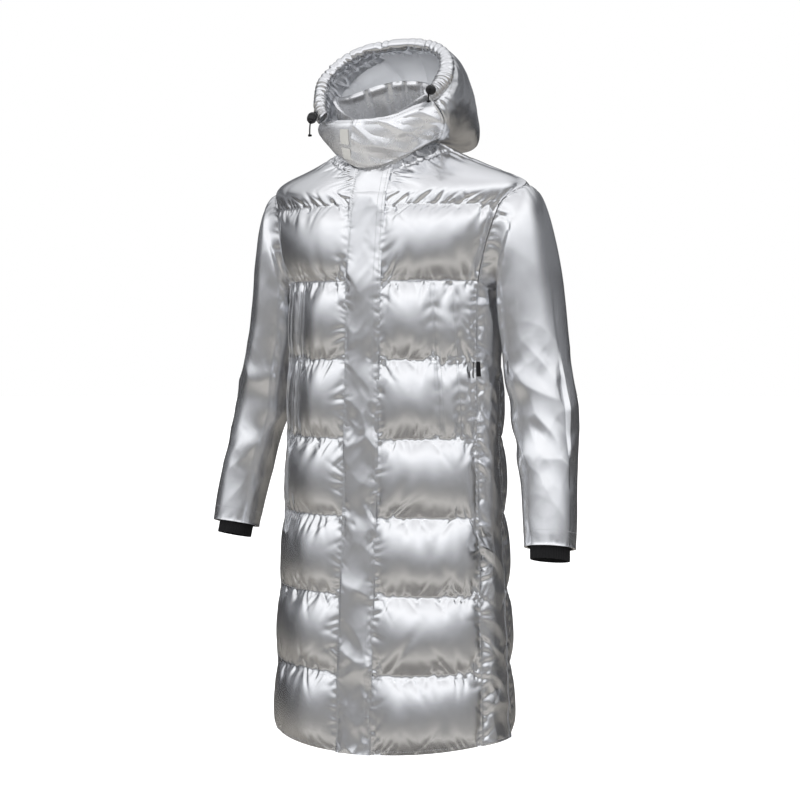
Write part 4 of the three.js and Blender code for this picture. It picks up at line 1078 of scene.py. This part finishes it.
# %% Give the walls their finish and their names, and hide the solids they stand for
PADDED = {"front_left": 0.7, "front_right": 0.7, "front_yoke_left": 0.7, "front_yoke_right": 0.7,
          "back": 0.7, "back_yoke": 0.7, "side_left": 0.4, "side_right": 0.4}


def is_piece(made, material, slot, *nodes):
    """A piece of the coat, in place of its solid."""
    made.data.materials.clear()
    made.data.materials.append(material)
    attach(made, "root")
    if nodes:
        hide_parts(*nodes)


def is_sheet(net, loop):
    """Closes a net round if it is a tube; nothing is kept or returned."""
    net = np.concatenate([net, net[:, :1]], 1) if loop else net


for name, made in walls.items():
    stands_for = "collar" if name == "collar_inside" else name
    made.name = made.data.name = stands_for + "_cloth"
    lined = name.startswith("hood_lining")
    shell = thin_silver if name.startswith(("collar", "chin")) else silver
    is_piece(made, lining_cloth if lined else shell, "grey_lining" if lined else "silver_shell", stands_for)
    if name in PADDED:
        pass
    else:
        is_sheet(cloths[name]["net"], cloths[name]["loop"])

for side, cord in cords.items():
    for part in (cord["free_end"], cord["knot"]):
        is_piece(part, cord_braid, "black_cord")
    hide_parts("drawcord_" + side)

# %% [markdown]
# ## Pieces that lie on the panels
# The pocket welts, the bands of the side vents and the loop tape are strips of a panel's own net,
# moved out, so they lie on it wherever the cloth settled. The pocket's mouth is the dark crease beside
# the welt's folded edge. The tag is a short folded tape, sewn into the left side seam.

# %% Strips of a net
def strip(name, panel, rows, columns, gap, cloth, fold=0.0):
    """A piece of cloth on a panel. Its first edge is folded, and stands off a little more."""
    fine, normal = (values[rows, columns] for values in fine_nets[panel])
    edge = fold * np.exp(-np.arange(fine.shape[1]) / 1.5)[None, :, None]
    under = fine[::2, ::2] + normal[::2, ::2] * gap
    return wall(name, fine + normal * (gap + cloth + edge), under, False, step=2)


def closed_strip(panel, node_name, material, slot, *where, **how):
    piece = strip(node_name + "_cloth", panel, *where, **how)
    is_piece(piece, material, slot, node_name)
    is_sheet(fine_nets[panel][0][where], False)


LYING = 0.3  # between a strip and the panel below it
WELT_ROWS = slice(POCKET_ROWS.start + 6, POCKET_ROWS.stop - 5)
VENT_ROWS = slice(0, 4 * BAFFLE_CELLS + 1)
TAPE_HEIGHTS = {"patch_upper": (0.49, 0.8), "patch_lower": (0.16, 0.43)}  # as shares of the chin flap's height
TAPE_COLUMNS = slice(6, 17)
TAG_ROWS, TAG_REACH, TAG_CLOTH = slice(230, 240), 10.0, 1.4

last_column = fine_nets["side_left"][0].shape[1] - 1
for side in ("left", "right"):
    closed_strip("front_" + side, "pocket_welt_" + side, silver, "silver_shell", WELT_ROWS,
                 slice(2 * MOUTH_COLUMN + 1, 2 * WELT_COLUMN), gap=LYING, cloth=1.8, fold=1.6)
    closed_strip("side_" + side, "vent_band_" + side, silver, "silver_shell", VENT_ROWS,
                 slice(last_column - 6, last_column + 1), gap=LYING, cloth=1.2)
for name, heights in TAPE_HEIGHTS.items():
    first, last = (2 * round((h - CHIN_FOOT) / (1 - CHIN_FOOT) * CHIN_CELLS) for h in heights)
    closed_strip("chin_flap_right", name, hook_tape, "hook_and_loop", slice(first, last + 1), TAPE_COLUMNS,
                 gap=LYING, cloth=1.6)
edge, out = (values[TAG_ROWS, -1] for values in fine_nets["front_left"])
round_body = np.cross(out, np.gradient(edge, axis=0))
round_body /= np.linalg.norm(round_body, axis=1, keepdims=True)
reaches = 1 + TAG_REACH * np.linspace(0, 1, 7)
faces_of_tag = [np.stack([edge + round_body * half + out * reach for reach in reaches], 1)
                for half in (TAG_CLOTH / 2, -TAG_CLOTH / 2)]
tag = wall("side_tag_cloth", faces_of_tag[0], faces_of_tag[1][::3, ::3], False, step=3)
is_piece(tag, rib_knit, "black_rib", "side_tag")
is_sheet(faces_of_tag[0], False)
print("welts, bands, loop tape and a tag")

# %% [markdown]
# ## Rib cuffs
# A knitted cuff is sewn inside each sleeve's hem. Its ribs run down to the wrist, 5 mm apart.

# %% Cuffs
CUFF_STATIONS = np.array([(-34, 37, 45), (-24, 31, 43), (21, 30, 42)], float)  # along, half width, half depth
RIBS, RIB_DEPTH, STEPS_PER_RIB = 48, 0.7, 8
CUFF_WALL = 2.5
for side, shortened, mirror in (("left", 1.0, False), ("right", RIGHT_SHORTENED, True)):
    rows = sleeve_rows(shortened)
    axis = (rows[-1] - rows[-2])[:3] / np.linalg.norm((rows[-1] - rows[-2])[:3])
    turn = 2 * np.pi * np.arange(STEPS_PER_RIB * RIBS) / (STEPS_PER_RIB * RIBS)
    stations = on_curve(CUFF_STATIONS, np.concatenate([np.linspace(0, 1, 9), np.linspace(1, 2, 25)[1:]]))

    def cuff_ring(station, less):
        along, wide, deep = station
        return sleeve_ring([*rows[-1][:3], wide - less, deep - less, *rows[-1][5:8], 2.0], turn) + axis * along

    outer = np.stack([cuff_ring(station, 0) for station in stations])
    inside = np.stack([cuff_ring(station, CUFF_WALL) for station in stations])
    outer = outer - outward(outer) * (RIB_DEPTH * (0.5 - 0.5 * np.cos(RIBS * turn)) ** 2)[None, :, None]
    flip = (-1, 1, 1) if mirror else (1, 1, 1)
    cuff = wall(f"cuff_{side}_knit", outer * flip, (inside * flip)[::8, ::8], True, 8)
    is_piece(cuff, rib_knit, "black_rib", "cuff_" + side)
    is_sheet(inside, True)

# %% [markdown]
# ## The tunnel round the face
# The hood's edge is a gathered tunnel for the drawcord, ruched so closely that it looks like a roll.
# Inside it a silver facing, ruched as well, covers the edge of the lining.

# %% Tunnel and facing
TUNNEL_REACH, TUNNEL_THICK, TUNNEL_GAP = 13.0, 10.5, 1.1
TUNNEL_BULGE = {"left": 6.5, "right": 1.5}  # where the cloth is drawn together beside the locks
AROUND_TUNNEL, ALONG_TUNNEL = 32, 201


def tunnel_frames(steps, side):
    """Centre, way forward across the tunnel, and way out of it, at steps of the hood's first arch."""
    edge = arch_point(0, steps, side)
    forward = edge - arch_point(0.35, steps, side)
    forward /= np.linalg.norm(forward, axis=-1, keepdims=True)
    along = arch_point(0, np.minimum(steps + 3, 90), side) - arch_point(0, np.maximum(steps - 3, -90), side)
    normal = np.cross(forward, along)
    normal /= np.linalg.norm(normal, axis=-1, keepdims=True)
    normal *= np.sign(normal[:, :1])
    return edge + forward * (TUNNEL_REACH + TUNNEL_GAP), forward, normal


def ruched(rows, columns, rng, period, depth):
    """Folds across a gathered strip: rows lie along it, one per millimetre or two."""
    at, height = 0.0, np.zeros((rows, columns))
    row, column = np.arange(rows)[:, None], np.linspace(-1, 1, columns)[None]
    while at < rows:
        at += period * rng.uniform(0.6, 1.4)
        lean, wide = rng.normal(0, 2.2), period * rng.uniform(0.2, 0.34)
        middle, reach = rng.uniform(-0.8, 0.8), rng.uniform(0.5, 1.6)
        offset = (row - at - lean * column) / wide
        height -= depth * rng.uniform(0.4, 1.0) * np.exp(-offset ** 2 - ((column - middle) / reach) ** 2)
    return height


def round_tunnel():
    steps = np.linspace(-90, 90, ALONG_TUNNEL)
    parts = []
    for side, flip in (("left", (1, 1, 1)), ("right", (-1, 1, 1))):
        centre, forward, normal = tunnel_frames(steps, side)
        turn = 2 * np.pi * np.arange(AROUND_TUNNEL) / AROUND_TUNNEL
        thick = TUNNEL_THICK + TUNNEL_BULGE[side] * np.exp(-((steps + 15) / 38) ** 2)
        ring = (centre[:, None] + forward[:, None] * (TUNNEL_REACH * np.cos(turn))[None, :, None]
                + normal[:, None] * (thick[:, None] * np.sin(turn))[..., None])
        parts.append((ring * flip, centre * flip))
    rings = np.concatenate([parts[0][0], parts[1][0][-2::-1]])
    centres = np.concatenate([parts[0][1], parts[1][1][-2::-1]])
    out = rings - centres[:, None]
    out /= np.linalg.norm(out, axis=-1, keepdims=True)
    rng = np.random.default_rng(7)
    folds = 1.2 + ruched(len(rings), AROUND_TUNNEL, rng, 6.5, 5.0)
    folds = 0.5 * (folds + np.roll(folds[:, ::-1], AROUND_TUNNEL // 2, 1))
    return rings + out * folds[..., None], centres


rings, centres = round_tunnel()
count, around = rings.shape[:2]
points = np.concatenate([rings.reshape(-1, 3), centres[[0, -1]]]) * MM
caps = [(k, (k + 1) % around, count * around) for k in range(around)]
last = (count - 1) * around
caps += [(last + (k + 1) % around, last + k, count * around + 1) for k in range(around)]
tunnel = closed_mesh("hood_brim_cloth", points, net_faces(count, around, True).tolist() + caps)
is_piece(tunnel, silver, "silver_shell", "hood_brim")

FACING_REACH = (0.04, 1.5)  # from the first arch towards the second and third
for side, flip in (("left", (1, 1, 1)), ("right", (-1, 1, 1))):
    place, step = np.meshgrid(np.linspace(*FACING_REACH, 25), np.linspace(-62, 88.5, 161), indexing="ij")
    shell = arch_point(place, step, side)
    out = away_from(shell, HOOD_CENTRE)
    folds = ruched(161, 25, np.random.default_rng(11), 6.0, 4.5).T
    over_lining = 5.5 * np.clip((place - 0.3) / 0.4, 0, 1)
    lying = shell - out * (HOOD_WALL + LYING_GAP + over_lining)[..., None]
    face = lying - out * (1 - folds)[..., None]
    facing = wall(f"hood_facing_{side}", face * flip, (lying * flip)[::8, ::8], False, 8)
    is_piece(facing, thin_silver, "silver_shell")
    is_sheet(lying, False)
print("tunnel and facings")

# %% [markdown]
# ## Cord locks
# Each lock is a barrel of black nylon with grooves to grip, a button at one end, and a bore for the cord.

# %% Locks
# distance from the middle along the barrel, radius, and how deep the grooves are there
LOCK_PROFILE = np.array([
    (-9.5, 2.1, 0), (-9.5, 5.2, 0), (-8.6, 5.9, 0), (-6.6, 7.6, 0.3), (-4.2, 8.6, 1), (-2.4, 8.8, 1),
    (-1.8, 7.9, 0), (-1.0, 7.9, 0), (-0.4, 8.9, 1), (3.0, 8.7, 1), (6.0, 7.7, 0.6), (6.6, 6.2, 0),
    (7.0, 5.0, 0), (7.4, 4.8, 0), (9.0, 4.8, 0), (9.5, 4.3, 0), (9.5, 2.1, 0)], float)
LOCK_GROOVES, GROOVE_DEPTH = 14, 0.45
turn = 2 * np.pi * np.arange(8 * LOCK_GROOVES) / (8 * LOCK_GROOVES)
for side, cord in cords.items():
    first, second = cord["keys"][2], cord["keys"][3]
    along = (second - first) / np.linalg.norm(second - first)
    across = np.cross(along, (0, 0, 1.0))
    across /= np.linalg.norm(across)
    third = np.cross(along, across)
    at, radius, groove = LOCK_PROFILE.T
    radius = radius[:, None] - GROOVE_DEPTH * groove[:, None] * (0.5 + 0.5 * np.cos(LOCK_GROOVES * turn))[None]
    rings = ((first + second) / 2 + along * at[:, None, None] + across * (radius * np.cos(turn))[..., None]
             + third * (radius * np.sin(turn))[..., None])
    rows, columns = rings.shape[:2]
    last = (rows - 1) * columns
    bore = [(k, (k + 1) % columns, last + (k + 1) % columns, last + k) for k in range(columns)]
    barrel = closed_mesh(f"cord_lock_{side}_barrel", rings.reshape(-1, 3) * MM,
                         net_faces(rows, columns, True).tolist() + bore)
    barrel.data.set_sharp_from_angle(angle=math.radians(40))
    is_piece(barrel, lock_plastic, "black_plastic", "cord_lock_" + side)

# %% [markdown]
# ## Stitches
# Seams are sewn with a lockstitch, 3.2 mm of thread showing and 1.4 mm hidden. A Geometry Nodes tool
# sets the stitches along a line of points just off the cloth, each a slim ball as long as a stitch.

# %% A tool that sews along a line
THREAD, PITCH, STITCH = 0.34, 4.6, 3.2
thread = plain_cloth("polyester_thread", "8d8e91", "7c7d80", 3000, 0.55, 0.3)


def sewing_tool():
    tool = bpy.data.node_groups.new("sewing", "GeometryNodeTree")
    socket = tool.interface.new_socket
    socket("Seams", in_out="INPUT", socket_type="NodeSocketGeometry")
    for name in ("Pitch", "Length", "Thread"):
        socket(name, in_out="INPUT", socket_type="NodeSocketFloat")
    socket("Stitches", in_out="OUTPUT", socket_type="NodeSocketGeometry")
    given = node(tool, "NodeGroupInput").outputs
    places = node(tool, "GeometryNodeCurveToPoints", {"mode": "LENGTH"},
                  {"Curve": given["Seams"], "Length": given["Pitch"]})
    half = node(tool, "ShaderNodeMath", {"operation": "MULTIPLY"}, {0: given["Length"], 1: 0.5})
    size = node(tool, "ShaderNodeCombineXYZ", None, {
        0: given["Thread"], 1: given["Thread"], 2: half.outputs[0]})
    ball = node(tool, "GeometryNodeMeshUVSphere", None, {"Segments": 5, "Rings": 4, "Radius": 1.0})
    sewn = node(tool, "GeometryNodeInstanceOnPoints", None, {
        "Points": places.outputs["Points"], "Instance": ball.outputs["Mesh"],
        "Rotation": places.outputs["Rotation"], "Scale": size.outputs[0]})
    real = node(tool, "GeometryNodeRealizeInstances", None, {"Geometry": sewn.outputs[0]})
    smooth = node(tool, "GeometryNodeSetShadeSmooth", None, {"Geometry": real.outputs[0]})
    dyed = node(tool, "GeometryNodeSetMaterial", None, {"Geometry": smooth.outputs[0], "Material": thread})
    node(tool, "NodeGroupOutput", None, {"Stitches": dyed.outputs[0]})
    return tool


sewing = sewing_tool()


def sew(name, lines):
    """Stitches along lines of points in millimetres, as one piece."""
    curve = bpy.data.curves.new(name + "_line", "CURVE")
    curve.dimensions = "3D"
    for line in lines:
        spline = curve.splines.new("POLY")
        spline.points.add(len(line) - 1)
        spline.points.foreach_set("co", np.concatenate([line * MM, np.ones((len(line), 1))], 1).ravel())
    source = linked(name + "_line", curve)
    modifier = source.modifiers.new("sewing", "NODES")
    modifier.node_group = sewing
    sizes = {"Pitch": PITCH * MM, "Length": STITCH * MM, "Thread": THREAD * MM}
    for item in sewing.interface.items_tree:
        if item.item_type == "SOCKET" and item.name in sizes:
            modifier[item.identifier] = sizes[item.name]
    source.update_tag()
    graph = bpy.context.evaluated_depsgraph_get()
    stitches = linked(name, bpy.data.meshes.new_from_object(source.evaluated_get(graph), depsgraph=graph))
    bpy.data.objects.remove(source)
    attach(stitches, "root")
    print(name, len(stitches.data.polygons), "faces")


def on_net(name, rows, columns, off=0.3):
    """A line on a refined net: one of rows and columns is a number."""
    fine, normal = fine_nets[name]
    return fine[rows, columns] + normal[rows, columns] * off


flap_columns = fine_nets["storm_flap"][0].shape[1]
flap_rows = slice(2, fine_nets["storm_flap"][0].shape[0] - 2)
sew("flap_stitching", [on_net("storm_flap", flap_rows, c) for c in (1, 2, flap_columns - 3, flap_columns - 7)])
for name in sorted(QUILTED):
    rows, columns = fine_nets[name][0].shape[:2]
    first = 8 if name.startswith("front") else 1
    sew(name + "_stitching", [on_net(name, row if row else 3, slice(first, columns - 1))
                              for row in quilting_rows(name, rows)])
ON_WELT, ON_WELT_FOLD = 2.4, 2.5  # how far the welt's stitches are off the front
for side in ("left", "right"):
    name = "front_" + side
    sew(f"welt_stitching_{side}", [on_net(name, WELT_ROWS, 2 * WELT_COLUMN - 2, ON_WELT),
                                   on_net(name, WELT_ROWS, 2 * MOUTH_COLUMN + 5, ON_WELT_FOLD)])
    rows, columns = fine_nets["side_" + side][0].shape[:2]
    sew(f"side_stitching_{side}", [on_net("side_" + side, slice(1, rows - 1), 1),
                                   on_net("side_" + side, slice(1, rows - 1), columns - 8),
                                   on_net("side_" + side, 3, slice(1, columns - 1))])
    rows = fine_nets["sleeve_" + side][0].shape[0]
    rounds = [on_net("sleeve_" + side, row, slice(None)) for row in (rows - 12, 2)]
    sew(f"sleeve_stitching_{side}", [np.concatenate([line, line[:1]]) for line in rounds])
    rows, columns = fine_nets["hood_" + side][0].shape[:2]
    sew(f"hood_stitching_{side}", [on_net("hood_" + side, 4, slice(1, columns)),
                                   on_net("hood_" + side, slice(1, rows - 1), columns - 4)])
    rows, columns = fine_nets["chin_flap_" + side][0].shape[:2]
    sew(f"chin_stitching_{side}", [on_net("chin_flap_" + side, slice(1, rows - 1), 3),
                                   on_net("chin_flap_" + side, rows - 4, slice(1, columns - 1))])

# %% [markdown]
# ## Stage and light
# A metal shows what is round it, so the room is the light: a wide soft glow from above in front, dimmer
# behind, and a warm pale band low down, which the underside of each baffle shows. The change from one
# to the other is slow, and so every baffle has a smooth highlight. One lamp lights the hood's inside.

# %% World, lights and floor
scene = bpy.context.scene
scene.view_settings.view_transform = "Standard"
world = bpy.data.worlds.new("studio")
scene.world = world
world.use_nodes = True
tree = world.node_tree
tree.nodes.clear()
direction = node(tree, "ShaderNodeTexCoord").outputs["Generated"]
apart = node(tree, "ShaderNodeSeparateXYZ", None, {0: direction})
level = node(tree, "ShaderNodeMapRange", None, {
    "Value": apart.outputs[2], "From Min": -1.0, "From Max": 1.0}).outputs[0]
# height, from 0 straight down over 0.5 level to 1 straight up, and the room's colour there
FRONT_ROOM = [
    (0.0, "5b5854"), (0.14, "73706c"), (0.28, "a6a39e"), (0.37, "878581"), (0.44, "6a6968"), (0.48, "6c6c6d"),
    (0.54, "898a8c"), (0.60, "b6b7ba"), (0.67, "dadbdd"), (0.76, "e9e9ea"), (1.0, "c2c2c4")]
REAR_ROOM = [
    (0.0, "4b4945"), (0.20, "7c7872"), (0.36, "67645f"), (0.46, "333232"), (0.52, "2e2e30"),
    (0.60, "626366"), (0.68, "3e3f42"), (0.78, "a7a8aa"), (1.0, "d5d5d7")]
ROOM_STRENGTH = 1.5


def colour_ramp(stops):
    ramp = node(tree, "ShaderNodeValToRGB", None, {"Fac": level})
    for stop, (position, code) in zip(ramp.color_ramp.elements, (stops[0], stops[-1])):
        stop.position, stop.color = position, colour(code)
    for position, code in stops[1:-1]:
        ramp.color_ramp.elements.new(position).color = colour(code)
    return ramp.outputs[0]


ahead = node(tree, "ShaderNodeVectorMath", {"operation": "DOT_PRODUCT"},
             {0: direction, 1: tuple(back)}).outputs["Value"]
in_front = node(tree, "ShaderNodeMapRange", {"interpolation_type": "SMOOTHSTEP"},
                {"Value": ahead, "From Min": -0.35, "From Max": 0.25}).outputs[0]
both = node(tree, "ShaderNodeMix", {"data_type": "RGBA"}, {"Factor": in_front})
tree.links.new(colour_ramp(REAR_ROOM), both.inputs["A"])
tree.links.new(colour_ramp(FRONT_ROOM), both.inputs["B"])
room = node(tree, "ShaderNodeBackground", None, {"Color": both.outputs["Result"], "Strength": ROOM_STRENGTH})
paper = node(tree, "ShaderNodeBackground", None, {"Color": (1, 1, 1, 1), "Strength": 1.0})
seen = node(tree, "ShaderNodeLightPath").outputs["Is Camera Ray"]
mix = node(tree, "ShaderNodeMixShader", None, {0: seen, 1: room.outputs[0], 2: paper.outputs[0]})
node(tree, "ShaderNodeOutputWorld", None, {"Surface": mix.outputs[0]})


LAMP_AZIMUTH, LAMP_HEIGHT = math.radians(20), math.radians(16)
LAMP_DISTANCE, LAMP_SIZE, LAMP_POWER, LAMP_LOWERED = 2.6, 1.2, 60, 0.3
level_way = math.cos(LAMP_HEIGHT)
place = LAMP_DISTANCE * Vector((math.sin(LAMP_AZIMUTH) * level_way, -math.cos(LAMP_AZIMUTH) * level_way,
                                math.sin(LAMP_HEIGHT)))
lamp = linked("into_the_hood", bpy.data.lights.new("into_the_hood", "AREA"))
lamp.data.shape, lamp.data.size, lamp.data.energy = "SQUARE", LAMP_SIZE, LAMP_POWER
lamp.location = place - Vector((0, 0, LAMP_LOWERED))
lamp.rotation_euler = (-place).to_track_quat("-Z", "Y").to_euler()
lamp.visible_camera = lamp.visible_glossy = False

FLOOR_Z, FLOOR_RADIUS, FLOOR_GLOW = -1.45, 30, 0.7
turns = np.linspace(0, 2 * math.pi, 65)[:-1]
floor_mesh = bpy.data.meshes.new("floor")
floor_mesh.from_pydata([(FLOOR_RADIUS * math.cos(t), FLOOR_RADIUS * math.sin(t), FLOOR_Z) for t in turns],
                       [], [list(range(len(turns)))])
floor = linked("floor", floor_mesh)
pale, tree = new_material("pale_floor")
surface(tree, {"Base Color": colour("f4f4f4"), "Roughness": 0.9, "Emission Color": (1, 1, 1, 1),
               "Emission Strength": FLOOR_GLOW})
floor.data.materials.append(pale)
floor.visible_glossy = False

# %% The zip keeps its solid, in black plastic
zip_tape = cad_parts["zip"].data.materials
zip_tape.clear()
zip_tape.append(lock_plastic)
